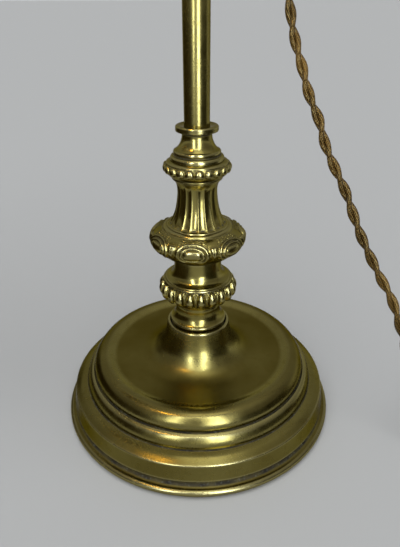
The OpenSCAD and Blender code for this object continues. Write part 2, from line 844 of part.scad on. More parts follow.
// Fork at the arm's end
module knuckle_fork() {
    z_top = z_arm_end + fork_socket;
    color(brass) translate([knuckle_x, 0, 0]) difference() {
        union() {
            turned(concat(
                [[0, z_fork - 1], [ear_r, z_fork - 1], [fork_r, z_fork], [fork_r, z_top - 3]],
                upright([fork_r, z_top - 3], [arm_r + 1.2, z_top], 4),
                [[0, z_top]]
            ));
            for (side = [-1, 1])
                translate([0, side * (slot_w + ear_t) / 2 - ear_t / 2, 0]) {
                    translate([0, 0, z_knuckle]) rod_y(0, ear_t, ear_r);
                    translate([-ear_r, 0, z_knuckle]) cube([ear_w, ear_t, z_fork - z_knuckle]);
                }
        }
        translate([-fork_r - eps, -slot_w / 2, z_knuckle - ear_r - eps])
            cube([2 * (fork_r + eps), slot_w, z_fork - z_knuckle + ear_r + eps]);
        translate([0, 0, z_arm_end]) cylinder(h = fork_socket + eps, r = arm_r + run_fit);
        translate([0, 0, z_fork - 2]) cylinder(h = fork_floor + 4, r = arm_bore_r);
        translate([0, 0, z_knuckle]) rod_y(-fork_w, 2 * fork_w, pin_r + run_fit);
    }
}

// Pin through the knuckle, with a round head
module knuckle_pin() {
    head_t = 2.6;
    color(bright_brass) translate([knuckle_x, 0, z_knuckle]) {
        rod_y(-knob_y - knob_l - 1, knob_y + knob_l + 1 + fork_w / 2, pin_r);
        rod_y(fork_w / 2, head_t, pin_r + 2.2);
    }
}

// Wing nut that sets how stiff the tilt is
module knuckle_knob() {
    wing_t = 2.2;
    wing_l = 3.4;
    color(bright_brass) translate([knuckle_x, 0, z_knuckle]) difference() {
        union() {
            rod_y(-knob_y - knob_l, knob_l, knob_hub_r);
            intersection() {
                rod_y(-knob_y - knob_l, wing_l, knob_wing_r);
                translate([-wing_t / 2, -knob_y - knob_l, -knob_wing_r])
                    cube([wing_t, wing_l, 2 * knob_wing_r]);
            }
        }
        rod_y(-knob_y - knob_l - eps, knob_l + 2 * eps, pin_r + run_fit);
    }
}

// Tongue that tilts in the fork and carries the lampholder on its nipple
module knuckle_tongue() {
    z_collar_top = z_knuckle - neck_drop;
    shank_w = ear_w - 4;
    color(brass) translate([knuckle_x, 0, 0]) difference() {
        union() {
            translate([0, 0, z_knuckle]) rod_y(-tongue_t / 2, tongue_t, ear_r - 0.2);
            translate([-shank_w / 2, -tongue_t / 2, z_collar_top - 1])
                cube([shank_w, tongue_t, neck_drop + 1]);
            translate([0, 0, z_holder]) cylinder(h = tongue_collar_h, r = nipple_r + 3);
            translate([0, 0, z_holder - nipple_l]) cylinder(h = nipple_l + 1, r = nipple_r);
        }
        translate([0, 0, z_knuckle]) rod_y(-tongue_t, 2 * tongue_t, pin_r + run_fit);
        translate([0, 0, z_holder - nipple_l - eps])
            cylinder(h = nipple_l + tongue_collar_h + eps, r = nipple_r - 2);
    }
}

// Domed cap of the lampholder with the hole for the push bar
module holder_cap() {
    boss_radius = nipple_r + 3.6;
    inner_r = holder_r - holder_wall;
    thread_r = body_r + slip_fit;
    color(brass) difference() {
        hung(concat(
            [[nipple_r + slip_fit, z_holder], [boss_radius - 0.8, z_holder]],
            [[boss_radius, z_holder - 0.8], [boss_radius, z_dome]],
            level([boss_radius, z_dome], [holder_r, z_skirt]),
            [[holder_r, z_body_flange], [thread_r, z_body_flange], [thread_r, z_skirt - 3]],
            [[thread_r - 1.2, z_skirt - 3], [thread_r - 1.2, z_skirt + 1]],
            upright([thread_r - 1.2, z_skirt + 1], [boss_radius - 1, z_dome - 2.5], 4),
            [[nipple_r + slip_fit, z_dome - 2.5]]
        ));
        translate([knuckle_x, 0, z_bar]) rod_y(-holder_d, 2 * holder_d, bar_r + run_fit);
    }
}

// Body of the lampholder, with slots for the bulb's pins
module holder_body() {
    ledge = 0.5;
    slot = 2 * bulb_pin_r + 0.8;
    slot_top = z_bulb - bulb_pin_z + slot / 2;
    color(bright_brass) difference() {
        hung([
            [body_r, z_skirt - 3.2], [body_r, z_body_flange], [holder_r, z_body_flange],
            [holder_r, z_gallery], [body_r, z_gallery], [body_r, z_body_end],
            [core_r + slip_fit - ledge, z_body_end], [core_r + slip_fit - ledge, z_core - core_h],
            [core_r + slip_fit, z_core - core_h], [core_r + slip_fit, z_skirt - 3.2]
        ]);
        translate([knuckle_x - slot / 2, -holder_r, z_body_end - eps])
            cube([slot, 2 * holder_r, slot_top - z_body_end + eps]);
    }
}

// Porcelain core that carries the contacts
module holder_core() {
    color(porcelain) translate([knuckle_x, 0, z_core - core_h]) cylinder(h = core_h, r = core_r);
}

// Two sprung contacts
module holder_plungers() {
    color(bright_brass)
        for (side = [-1, 1])
            translate([knuckle_x + side * plunger_x, 0, z_bulb])
                cylinder(h = plunger_l, r = plunger_r);
}

// Push bar of the switch, standing out at its off side
module switch_bar() {
    half = bar_l / 2;
    color(bright_brass) translate([knuckle_x, -bar_travel / 2, z_bar]) {
        rod_y(-half, bar_l, bar_r);
        rod_y(-half, bar_end_l, bar_end_r);
        rod_y(half - bar_end_l, bar_end_l, bar_end_r);
    }
}

// Brass gallery that holds the glass
module shade_gallery() {
    rim_r = gallery_r + gallery_t;
    color(brass) difference() {
        hung(concat(
            [[body_r + slip_fit, z_gallery - gallery_t], [body_r + slip_fit, z_gallery]],
            [[rim_r - 2, z_gallery]],
            level([rim_r - 2, z_gallery], [rim_r, z_gallery - 2], 4),
            [[rim_r, z_gallery - gallery_l]],
            [[gallery_r, z_gallery - gallery_l], [gallery_r, z_gallery - gallery_t]]
        ));
        for (i = [0:screw_count - 1])
            translate([knuckle_x, 0, z_screw]) rotate([0, 90, 360 * i / screw_count])
                translate([0, 0, gallery_r - eps])
                    cylinder(h = gallery_t + 2 * eps, r = screw_r + run_fit);
    }
}

// Ring that clamps the gallery to the lampholder
module shade_ring() {
    z_top = z_gallery - gallery_t;
    color(bright_brass) hung([
        [body_r + slip_fit, z_top], [shade_ring_r, z_top], [shade_ring_r, z_top - shade_ring_h],
        [body_r + slip_fit, z_top - shade_ring_h]
    ]);
}

// Three thumbscrews that steady the glass
module gallery_screws() {
    knob_r = 4;
    knob_at = gallery_r + gallery_t + 1.5;
    knob_len = 4.5;
    color(bright_brass)
        for (i = [0:screw_count - 1])
            translate([knuckle_x, 0, z_screw]) rotate([0, 90, 360 * i / screw_count]) {
                translate([0, 0, neck_r + screw_tip])
                    cylinder(h = knob_at + 1 - neck_r - screw_tip, r = screw_r);
                translate([0, 0, knob_at]) cylinder(h = knob_len, r = knob_r);
            }
}

// Tulip glass: a round neck, a swelling body and a rim that waves into petals
bell_share = 0.5;
shade_sides = petals * 8;
shade_rings = 12;
function shade_r(s) =
    let (
        t = s / shade_h,
        swell = min(1, t / bell_share),
        flare = max(0, t - bell_share) / (1 - bell_share)
    )
    neck_r + (shade_bell_d / 2 - neck_r) * sin(90 * swell)
        + (shade_rim_d - shade_bell_d) / 2 * flare * flare;
function shade_point(s, a, inset) =
    let (
        t = s / shade_h,
        wave = cos(petals * a),
        r = shade_r(s) + petal_wave * t * t * wave - inset
    )
    [r * cos(a), r * sin(a), -s - petal_drop * t * t * t * wave];
module tulip_shade() {
    n = shade_sides;
    line = concat([-shade_neck_l], [for (i = [0:shade_rings]) shade_h * i / shade_rings]);
    count = len(line);
    function ring(s, inset) = [
        for (k = [0:n - 1])
            let (a = 360 * k / n)
            s < 0 ? [(neck_r - inset) * cos(a), (neck_r - inset) * sin(a), -s]
                : shade_point(s, a, inset)
    ];
    rows = concat(
        [for (i = [0:count - 1]) ring(line[i], 0)],
        [for (i = [count - 1:-1:0]) ring(line[i], glass_t)]
    );
    points = [for (row = rows, p = row) p];
    total = len(rows);
    faces = [
        for (i = [0:total - 1], k = [0:n - 1], h = [0, 1])
            let (
                a = i * n + k, b = i * n + (k + 1) % n,
                c = ((i + 1) % total) * n + k, d = ((i + 1) % total) * n + (k + 1) % n
            )
            h == 0 ? [a, b, d] : [a, d, c]
    ];
    color(frosted_glass) translate([knuckle_x, 0, z_shade_body]) polyhedron(points, faces);
}

// Bayonet cap of the bulb with its two pins
module bulb_cap() {
    pin_reach = body_r - 0.6;
    wall = 1;
    color(bright_brass) union() {
        hung([
            [0, z_bulb], [bulb_cap_r, z_bulb], [bulb_cap_r, z_globe],
            [bulb_cap_r - wall, z_globe], [bulb_cap_r - wall, z_bulb - 2], [0, z_bulb - 2]
        ]);
        translate([knuckle_x, 0, z_bulb - bulb_pin_z])
            rod_y(-pin_reach, 2 * pin_reach, bulb_pin_r);
    }
}

// Pearl glass envelope of the bulb
module bulb_glass() {
    wall = 0.8;
    neck = bulb_cap_r - 0.4;
    z_join = z_globe - 4;
    z_centre = z_join - sqrt(bulb_d * bulb_d / 4 - neck * neck);
    start = atan2(z_join - z_centre, neck);
    function globe(r) = [
        for (i = [0:14])
            let (a = start - (start + 90) * i / 14)
            [max(0, r * cos(a)), z_centre + r * sin(a)]
    ];
    inner = globe(bulb_d / 2 - wall);
    color("#f6f2e6") hung(concat(
        [[neck, z_globe]],
        globe(bulb_d / 2),
        [for (i = [14:-1:0]) inner[i]],
        [[neck - wall, z_globe]]
    ));
}

// Hanging stretch of the twisted flex
module cord_drop() {
    color(flex_gold) tube(smooth_route(route), cord_r, cord_sides, [0, 0, 1]);
}

// Spare flex wound into a coil
module cord_coil() {
    color(flex_gold) tube(coil_points, cord_r, coil_sides, [0, 0, 1]);
}

// Strap round the coil
module cord_tie() {
    inner = coil_r - coil_pitch * coil_turns / 2 - cord_r - tie_room;
    outer = coil_r + cord_r + tie_room;
    low = coil_lift - tie_room / 2;
    high = coil_end_z + cord_r + tie_room;
    color(bakelite) translate([coil_x, coil_y, 0]) rotate([90, 0, tie_angle])
        translate([0, 0, -tie_w / 2]) linear_extrude(tie_w) difference() {
            translate([inner - tie_wall, 0])
                square([outer - inner + 2 * tie_wall, high + tie_wall]);
            translate([inner, low]) square([outer - inner, high - low]);
        }
}

// Tapered strain relief of the plug
module plug_relief() {
    color(bakelite) translate([plug_x, relief_y, plug_z]) rotate([-90, 0, 0])
        cylinder(h = relief_l, r1 = cord_r + 0.6, r2 = cord_r + 2.2);
}

// Flat two-pin plug
module plug_body() {
    back_w = 15;
    corner = 4;
    color(bakelite) translate([plug_x, plug_y, 0]) linear_extrude(plug_t) {
        polygon([
            [-back_w / 2, 0], [back_w / 2, 0], [plug_w / 2, plug_l * 0.55],
            [plug_w / 2, plug_l - corner], [plug_w / 2 - corner, plug_l],
            [corner - plug_w / 2, plug_l], [-plug_w / 2, plug_l - corner],
            [-plug_w / 2, plug_l * 0.55]
        ]);
    }
}

// Two round pins
module plug_pins() {
    color(bright_brass)
        for (side = [-1, 1])
            translate([plug_x + side * plug_pin_gap / 2, plug_y + plug_l, plug_z])
                rod_y(0, plug_pin_l, plug_pin_d / 2);
}

base_felt();
base_shell();
base_weight();
base_washer();
base_nut();
tie_rod();
column_foot();
lower_collar();
leaf_knop();
fluted_neck();
upper_collar();
stem_cap();
stem();
head();
swing_washer();
cord_bush();
lock_screw();
arm_pivot();
swan_neck();
arm_wire();
knuckle_fork();
knuckle_pin();
knuckle_knob();
knuckle_tongue();
holder_cap();
holder_body();
holder_core();
holder_plungers();
switch_bar();
shade_gallery();
shade_ring();
gallery_screws();
tulip_shade();
bulb_cap();
bulb_glass();
cord_drop();
cord_coil();
cord_tie();
plug_relief();
plug_body();
plug_pins();
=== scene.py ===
# Tulip table lamp: an aged brass stand with a swing arm, a tulip glass shade and a twisted flex
import math

import bpy
import numpy as np
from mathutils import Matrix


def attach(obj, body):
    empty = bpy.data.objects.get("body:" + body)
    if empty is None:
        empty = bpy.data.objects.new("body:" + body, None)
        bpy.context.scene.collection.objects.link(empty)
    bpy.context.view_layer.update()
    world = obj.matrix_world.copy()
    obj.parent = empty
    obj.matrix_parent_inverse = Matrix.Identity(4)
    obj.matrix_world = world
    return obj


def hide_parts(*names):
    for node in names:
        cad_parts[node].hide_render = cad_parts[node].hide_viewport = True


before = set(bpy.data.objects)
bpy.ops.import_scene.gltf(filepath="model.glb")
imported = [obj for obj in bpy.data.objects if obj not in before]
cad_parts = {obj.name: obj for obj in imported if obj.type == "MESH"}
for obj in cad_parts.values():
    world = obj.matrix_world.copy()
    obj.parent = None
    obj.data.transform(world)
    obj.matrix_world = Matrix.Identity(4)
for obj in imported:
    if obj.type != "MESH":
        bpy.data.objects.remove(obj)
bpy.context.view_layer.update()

bl_info = {
    "name": "Tulip table lamp",
    "version": (1, 0, 0),
    "blender": (4, 5, 0),
    "location": "View3D > Sidebar > Lamp",
    "description": "Dresses the lamp's solids with turned, cast, blown and woven pieces",
    "category": "Add Mesh",
}

MM = 0.001
FRONT = -math.pi / 2
BACK = (0, 1, 0)
FORWARD = (0, -1, 0)
FLEX_WAY = (4, 3, 0)

# Heights of the stack, in millimetres above the table
Z_SEAT = 52.0
Z_COLLAR = 70.0
Z_KNOP = 94.0
Z_NECK = 112.0
Z_UPPER = 135.5
Z_CAP = 145.0
Z_FLANGE = 161.0
Z_STEM = 147.0
Z_STEM_TOP = 347.0
Z_HEAD = 333.0
Z_BUSH = 356.0
Z_LOCK = 370.1
Z_HEAD_TOP = 380.0
Z_ARM_COLLAR = 381.1
Z_ARM = 383.1
Z_BEND = 394.1
Z_ARM_END = 386.1
Z_KNUCKLE = 372.1
Z_HOLDER = 359.1
Z_SWITCH = 345.1
Z_GALLERY = 328.1
Z_SCREWS = 320.3
Z_SHADE = 314.3
Z_BULB_PINS = 314.05
HOLDER_X = -144.0
HOLDER = (HOLDER_X, 0, 0)
BEND_R = 72.0
ARM_R = 5.0
TIE_HOLE_R = 4.9
SWITCH_TRAVEL = 8.0

# The flex: its route from the bush to the table, and its coil, in millimetres
ROUTE = [
    (28, 21, 356), (33.6, 25.2, 356), (38.5, 29, 353.5), (42, 31.5, 347), (43.5, 33, 338),
    (44, 34.5, 326), (44, 36, 310), (43, 37.5, 292), (42.5, 38.5, 274), (42, 38.5, 256),
    (42, 37.5, 238), (42.5, 35.5, 223), (43.5, 32, 211), (46.5, 26, 195), (50.5, 21.5, 182.5),
    (54, 17, 171), (59, 12.5, 160), (62.5, 8.5, 149), (68, 3.5, 137.5), (73, 0, 128),
    (77, -4, 118), (81.5, -8, 107.5), (87, -12, 97), (92, -15.5, 88), (97.5, -19, 79),
    (102, -22.5, 68), (106, -26.5, 56), (109.5, -31, 44), (113, -35, 32.5),
    (117, -40, 22), (122.5, -45, 12.5), (130, -49.5, 6.5), (139, -52.5, 4.2),
    (148.5, -54.2, 3.7), (158, -55, 3.6), (164.6, -55, 3.6),
]
FLEX_D = 5.4
COIL_R = 41.0
COIL_PITCH = 6.0
COIL_TURNS = 7.25
COIL_CENTRE = (170.0, -14.0)
COIL_Z = 3.6
TAIL_L = 46.0
PLUG_X = 211.0
PLUG_Z = 7.0
RELIEF_Y = 32.0
PLUG_Y = 57.0
PLUG_L = 36.0
PIN_X = 9.3
STRAP_TURN = math.radians(200)

# Rounding of outlines, in millimetres
FILLET = 0.22

# How far away the wear of a point is judged, and the height there that counts in full, in millimetres
WEAR_FAR = 1.4
WEAR_FAR_FULL = 0.45
WEAR_NEAR = 0.7
WEAR_NEAR_FULL = 0.3

# Levels of tone over the base, at radii in millimetres: a deeper patina in the dish and over the foot, while
# the lighter cone top is painted reflection, the lighter lip of the dish painted highlight and the deeper
# roll painted shade
DISH_SPAN = 80.0
DISH_TONES = (
    (16, 1.0), (21, 1.0), (28, 0.3), (46.2, 0.25), (48.2, 1.0), (50.6, 1.0), (53, 0.3), (58, 0.3),
    (60, 0.7), (66, 0.62), (72.5, 0.5), (74, 0.15),
)

# Threads round a core of the flex, and the length of one crossing in millimetres
BRAID_THREADS = 6.0
BRAID_LAY = 2.1

# Light panels: azimuth in degrees, distance, lowest and highest edge and width in metres, radiance, tint
PANELS = (
    ("window_right", 17, 0.62, 0.03, 1.05, 0.18, 12.5, "#e2eaff"),
    ("window_left", -23, 0.62, 0.15, 0.95, 0.09, 16.0, "#e2eaff"),
    ("window_bar", 3, 0.62, 0.93, 1.07, 0.42, 9.0, "#e2eaff"),
    ("warm_panel", -46, 0.55, 0.92, 1.14, 0.14, 27.0, "#ffc663"),
)

# Dark cards: first and last azimuth and colour, and the reach and height of their section in metres
FLAGS = (("flag_left", -150, -25, "#382e12"), ("flag_right", 19, 104, "#33301c"))
FLAG_SECTION = ((0.15, 0.003), (0.64, 0.003), (0.66, 0.02), (0.66, 0.24))


def linear(code):
    """Linear colour of an sRGB hex code."""
    srgb = np.array([int(code[i:i + 2], 16) for i in (1, 3, 5)]) / 255
    low = srgb / 12.92
    high = ((srgb + 0.055) / 1.055) ** 2.4
    return tuple(float(v) for v in np.where(srgb <= 0.04045, low, high)) + (1.0,)


def colour(name, words, code):
    """A colour property whose default is an sRGB hex code."""
    return bpy.props.FloatVectorProperty(
        name=name, description=words, default=linear(code), subtype="COLOR", size=4, min=0, max=1
    )


def count(name, words, default, low, high):
    """A property that is a whole number between two limits."""
    return bpy.props.IntProperty(name=name, description=words, default=default, min=low, max=high)


class LampSizes(bpy.types.PropertyGroup):
    """Counts and sizes of the ornament that a user may change."""

    lower_beads: count("Lower beads", "Long beads round the lower collar", 21, 12, 30)
    upper_beads: count("Upper beads", "Round beads round the upper collar", 21, 12, 30)
    bosses: count("Bosses", "Oval bosses round the knop", 7, 3, 8)
    panels: count("Panels", "Hollow panels round the neck", 20, 6, 24)
    twist: bpy.props.FloatProperty(
        name="Twist", description="Length of one full twist of the flex", default=0.025, unit="LENGTH"
    )
    petals: count("Petals", "Petals round the rim of the glass", 6, 4, 8)


class LampColours(bpy.types.PropertyGroup):
    """Colours of the finishes that a user may change."""

    # On the base the open and deep colours are also laid by radius, as patina and as painted reflection,
    # painted highlight and painted shade
    brass: colour("Brass", "Aged brass where it lies open", "#8a8048")
    brass_pale: colour("Pale brass", "Brass of the column and the fittings", "#968b4f")
    brass_deep: colour("Deep brass", "Aged brass where it has darkened", "#615523")
    brass_worn: colour("Worn brass", "Brass on rubbed edges", "#b0a775")
    grime: colour("Grime", "Old polish and dust in the hollows", "#24211a")
    # The flex's light colour lies on the crests of the threads and its dark one between them: painted
    # highlight and painted shade over the rayon's own colour
    flex_lit_crests: colour("Flex, light", "Light threads of the flex", "#785c2e")
    flex_shaded_gaps: colour("Flex, dark", "Dark threads of the flex", "#1b1408")
    glass: colour("Glass", "Etched glass of the shade", "#f3ead6")
    floor: colour("Floor", "Pale floor", "#b6b8b9")


def lengths(line):
    """Distance along a line of points to each of them: the sums of the steps before it."""
    return np.concatenate([[0], np.cumsum(np.linalg.norm(np.diff(line, axis=0), axis=1))])


def unit(vectors):
    """Vectors divided by their lengths."""
    return vectors / np.maximum(np.linalg.norm(vectors, axis=-1, keepdims=True), 1e-9)


def run(step, *points):
    """Samples a smooth run through points every step mm: a cubic through each pair whose slopes at the
    points come from their neighbours, with the distance along the points as its parameter."""
    p = np.array(points, float)
    t = lengths(p)
    count = max(1, int(math.ceil(t[-1] / step)))
    s = np.linspace(0, t[-1], count + 1)
    if len(p) == 2:
        return p[0] + (p[1] - p[0]) * (s / t[-1])[:, None]
    slope = np.gradient(p, t, axis=0)
    i = np.clip(np.searchsorted(t, s, "right") - 1, 0, len(t) - 2)
    h = (t[i + 1] - t[i])[:, None]
    u = (s - t[i])[:, None] / h
    return (
        (2 * u**3 - 3 * u**2 + 1) * p[i] + (u**3 - 2 * u**2 + u) * h * slope[i]
        + (3 * u**2 - 2 * u**3) * p[i + 1] + (u**3 - u**2) * h * slope[i + 1]
    )


def outline(start, *rows, closed=True):
    """An outline (r, z) in mm: a start point, and rows of a step and the points that a smooth run goes on
    through. Each place where runs meet is rounded by a quadratic curve that starts and ends a fillet's
    length away from it. An open outline starts and ends on the axis, and leaves these two points to shell."""
    runs = []
    for step, *points in rows:
        runs.append(run(step, start, *points))
        start = points[-1]
    t = np.linspace(0, 1, 5)[:, None]
    parts = []
    for i, a in enumerate(runs):
        parts.append(a[1:-1])
        if closed or i + 1 < len(runs):
            corner = a[-1]
            back, on = a[-2] - corner, runs[(i + 1) % len(runs)][1] - corner
            leave = corner + back * min(FILLET / np.linalg.norm(back), 0.5)
            meet = corner + on * min(FILLET / np.linalg.norm(on), 0.5)
            parts.append((1 - t) ** 2 * leave + 2 * t * (1 - t) * corner + t**2 * meet)
    return np.concatenate(parts)


def along(line, point):
    """Distance along the outline from the place nearest to point, in mm, negative before it: a column."""
    length = lengths(line)
    return (length - length[np.argmin(np.linalg.norm(line - np.array(point), axis=1))])[:, None]


def turned(line, sides, relief=0.0, closed=True):
    """A surface of revolution: outline (r, z) turned through sides angles, pushed out along the
    outline's normal by relief, an array of rows by sides, in mm. Open outlines start and end on the
    axis, where shell closes them."""
    if closed:
        ahead, behind = np.roll(line, -1, axis=0), np.roll(line, 1, axis=0)
    else:
        ahead, behind = np.vstack([line[1:], line[-1:]]), np.vstack([line[:1], line[:-1]])
    tangent = ahead - behind
    normal = unit(np.stack([tangent[:, 1], -tangent[:, 0]], axis=1))
    a = angles(sides)
    r = line[:, :1] + normal[:, :1] * relief
    z = line[:, 1:] + normal[:, 1:] * relief
    return np.stack([r * np.cos(a), r * np.sin(a), z + 0 * a], axis=2)


def angles(sides):
    """Angles round an axis, in radians."""
    return 2 * np.pi * np.arange(sides)[None, :] / sides


def repeated(a, count, start):
    """Angle from the nearest of count places round the axis, the first at start."""
    pitch = 2 * np.pi / count
    return (a - start + pitch / 2) % pitch - pitch / 2


def dome(rho2, power):
    """Height of a rounded bump, 1 in the middle and 0 where rho2 is 1 or more."""
    return np.clip(1 - rho2, 0, 1) ** power


def round_beads(line, middle, count, sides, start, height, half_width, half_height, power):
    """A ring of count beads along an outline: domes over ellipses at even steps round the axis, as high as
    height in mm."""
    off = repeated(angles(sides), count, start) * line[:, :1]
    return height * dome((off / half_width) ** 2 + (along(line, middle) / half_height) ** 2, power)


def knurled(line, middle, count, sides, depth, half_height, power):
    """Grooves cut across a band of an outline: a raised cosine round the axis, under a dome along it."""
    cut = 0.5 - 0.5 * np.cos(count * angles(sides))
    return -depth * cut * dome((along(line, middle) / half_height) ** 2, power)


def soft(x, low, high):
    """A smooth rise from 0 at low to 1 at high."""
    t = np.clip((x - low) / (high - low), 0, 1)
    return t * t * (3 - 2 * t)


def aimed(grid, origin, direction):
    """Turns a grid's Z axis to a direction and moves it to an origin, in mm."""
    w = np.array(direction, float)
    w /= np.linalg.norm(w)
    helper = np.array([0, 0, 1.0]) if abs(w[2]) < 0.9 else np.array([1.0, 0, 0])
    u = np.cross(helper, w)
    u /= np.linalg.norm(u)
    v = np.cross(w, u)
    return np.array(origin, float) + grid[..., :1] * u + grid[..., 1:2] * v + grid[..., 2:] * w


def squarer(wave, power):
    """A sine or cosine raised to a power under 1 with its sign kept, which makes a round form squarer."""
    return np.sign(wave) * np.abs(wave) ** power


def blob(size, power, rows, cols):
    """A closed superellipsoid of half sizes (x, y, z): powers of cosines and sines of two angles."""
    v = np.linspace(-np.pi / 2, np.pi / 2, rows + 2)[1:-1, None]
    u = angles(cols)
    return np.stack([
        size[0] * squarer(np.cos(v), power) * squarer(np.cos(u), power),
        size[1] * squarer(np.cos(v), power) * squarer(np.sin(u), power),
        size[2] * squarer(np.sin(v), power) + 0 * u,
    ], axis=2)


def shell(grid, wrap=True, uv=None):
    """Vertices and faces of one closed skin. The grid closes round its columns, and round its rows if
    wrap is true: otherwise a fan closes each end. Faces are turned outwards by the sign of the volume.
    The wear of a vertex is how far the means of its neighbours, at two distances, lie outside it: above 0
    in hollows and below 0 on edges."""
    rows, cols = grid.shape[:2]
    index = np.arange(rows * cols).reshape(rows, cols)
    side = np.roll(index, -1, axis=1)
    if wrap:
        quads = np.stack([index, side, np.roll(side, -1, axis=0), np.roll(index, -1, axis=0)], axis=2)
    else:
        quads = np.stack([index[:-1], side[:-1], side[1:], index[1:]], axis=2)
    quads = quads.reshape(-1, 4)
    points = grid.reshape(-1, 3)
    fans = np.zeros((0, 3), int)
    if not wrap:
        points = np.vstack([points, grid[0].mean(axis=0), grid[-1].mean(axis=0)])
        first, last = rows * cols, rows * cols + 1
        fans = np.concatenate([
            np.stack([np.full(cols, first), side[0], index[0]], axis=1),
            np.stack([np.full(cols, last), index[-1], side[-1]], axis=1),
        ])
    corners = np.concatenate([quads[:, [0, 1, 2]], quads[:, [0, 2, 3]], fans])
    a, b, c = points[corners[:, 0]], points[corners[:, 1]], points[corners[:, 2]]
    sign = np.sign(np.einsum("ij,ij->i", a, np.cross(b, c)).sum())
    if sign < 0:
        quads, fans = quads[:, ::-1], fans[:, ::-1]

    def shifted(k, axis):
        """The grid moved by k rows or columns."""
        if axis == 1 or wrap:
            return np.roll(grid, -k, axis=axis)
        return grid[np.clip(np.arange(rows) + k, 0, rows - 1)]

    along_rows = shifted(1, 0) - shifted(-1, 0)
    along_cols = shifted(1, 1) - shifted(-1, 1)
    normal = unit(sign * np.cross(along_cols, along_rows))
    step = np.linalg.norm(np.roll(grid, -1, axis=0) - grid, axis=2).mean(axis=1)
    place = np.cumsum(step) - step
    spacing = np.linalg.norm(np.roll(grid, -1, axis=1) - grid, axis=2).mean(axis=1)

    def further(mm):
        """The points that lie mm further along each column."""
        target = (place + mm) % step.sum() if wrap else np.clip(place + mm, 0, place[-1])
        i = np.searchsorted(place, target, "right") - 1
        share = ((target - place[i]) / np.maximum(step[i], 1e-9))[:, None, None]
        return grid[i] + share * (grid[(i + 1) % rows] - grid[i])

    def round_by(mm):
        """The points that lie about mm further round each row."""
        turn = np.clip(np.round(mm / np.maximum(spacing, 1e-3)), -cols // 6, cols // 6).astype(int)
        return grid[np.arange(rows)[:, None], (np.arange(cols) + turn[:, None]) % cols]

    mean = (further(WEAR_FAR) + further(-WEAR_FAR) + round_by(WEAR_FAR) + round_by(-WEAR_FAR)) / 4
    near = (further(WEAR_NEAR) + further(-WEAR_NEAR)) / 2
    hollow = np.einsum("ijk,ijk->ij", mean - grid, normal) / WEAR_FAR_FULL
    hollow += np.einsum("ijk,ijk->ij", near - grid, normal) / WEAR_NEAR_FULL
    wear = np.clip(hollow, -1, 1).reshape(-1)
    wear = np.concatenate([wear, np.zeros(len(points) - len(wear))])
    return {"points": points, "quads": quads, "fans": fans, "wear": wear, "uv": uv}


def skin(line, sides, relief=0.0, at=(0, 0, 0), way=None, closed=True):
    """The closed skin of a turned outline, moved to a place and, where a way is given, turned along it."""
    grid = turned(line, sides, relief, closed)
    return shell(grid + np.array(at) if way is None else aimed(grid, at, way), closed)


def placed(name, data):
    """A mesh, a light or a camera put into the scene as an object."""
    obj = bpy.data.objects.new(name, data)
    bpy.context.scene.collection.objects.link(obj)
    return obj


def piece(name, shells, finish_name, body, *nodes):
    """Puts skins into one mesh object at the origin, in metres, that rides on a body, stands for CAD nodes
    and takes the slot of its finish."""
    starts = np.cumsum([0] + [len(s["points"]) for s in shells])
    points = np.concatenate([s["points"] for s in shells]) * MM
    quads = np.concatenate([s["quads"] + k for s, k in zip(shells, starts)])
    fans = np.concatenate([s["fans"] + k for s, k in zip(shells, starts)])
    corners = np.concatenate([quads.reshape(-1), fans.reshape(-1)])
    first = np.concatenate([
        np.arange(len(quads)) * 4, len(quads) * 4 + np.arange(len(fans)) * 3
    ])
    mesh = bpy.data.meshes.new(name)
    mesh.vertices.add(len(points))
    mesh.vertices.foreach_set("co", points.astype(np.float32).reshape(-1))
    mesh.loops.add(len(corners))
    mesh.loops.foreach_set("vertex_index", corners.astype(np.int32))
    mesh.polygons.add(len(first))
    mesh.polygons.foreach_set("loop_start", first.astype(np.int32))
    mesh.polygons.foreach_set("use_smooth", np.ones(len(first), bool))
    mesh.update(calc_edges=True)
    wear = np.concatenate([s["wear"] for s in shells]).astype(np.float32)
    mesh.attributes.new("wear", "FLOAT", "POINT").data.foreach_set("value", wear)
    if shells[0]["uv"] is not None:
        uv = np.concatenate([s["uv"] for s in shells])[corners]
        layer = mesh.uv_layers.new(name="thread")
        layer.data.foreach_set("uv", uv.astype(np.float32).reshape(-1))
    mesh.validate()
    mesh.materials.append(finish(finish_name))
    obj = placed(name, mesh)
    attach(obj, body)
    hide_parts(*nodes)
    return obj


def dress(finish_name, *nodes):
    """Gives CAD nodes a finish."""
    for node in nodes:
        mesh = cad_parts[node].data
        mesh.materials.clear()
        mesh.materials.append(finish(finish_name))


# Inputs of a colour Mix, for its share and its two colours, and its type and colour output
SHARE, FIRST, SECOND = 0, 6, 7
BLEND = {"data_type": "RGBA", "out": 2}


def feed(tree, node, inputs):
    """Sets or links a node's inputs, which are given in their order or by name. In its order, a Map Range
    takes a value, the two ends of the range it comes from and the two ends of the range it goes to."""
    for key, value in inputs.items() if isinstance(inputs, dict) else enumerate(inputs):
        if isinstance(value, bpy.types.NodeSocket):
            tree.links.new(value, node.inputs[key])
        else:
            node.inputs[key].default_value = value


def add(tree, kind, inputs=(), out=0, **settings):
    """Adds a node with its settings and inputs, and gives one of its outputs."""
    node = tree.nodes.new("ShaderNode" + kind)
    for key, value in settings.items():
        setattr(node, key, value)
    feed(tree, node, inputs)
    return node.outputs[out]


def blank(name):
    """A material with one Principled shader, its tree and the shader."""
    material = bpy.data.materials.new(name)
    material.use_nodes = True
    return material, material.node_tree, material.node_tree.nodes["Principled BSDF"]


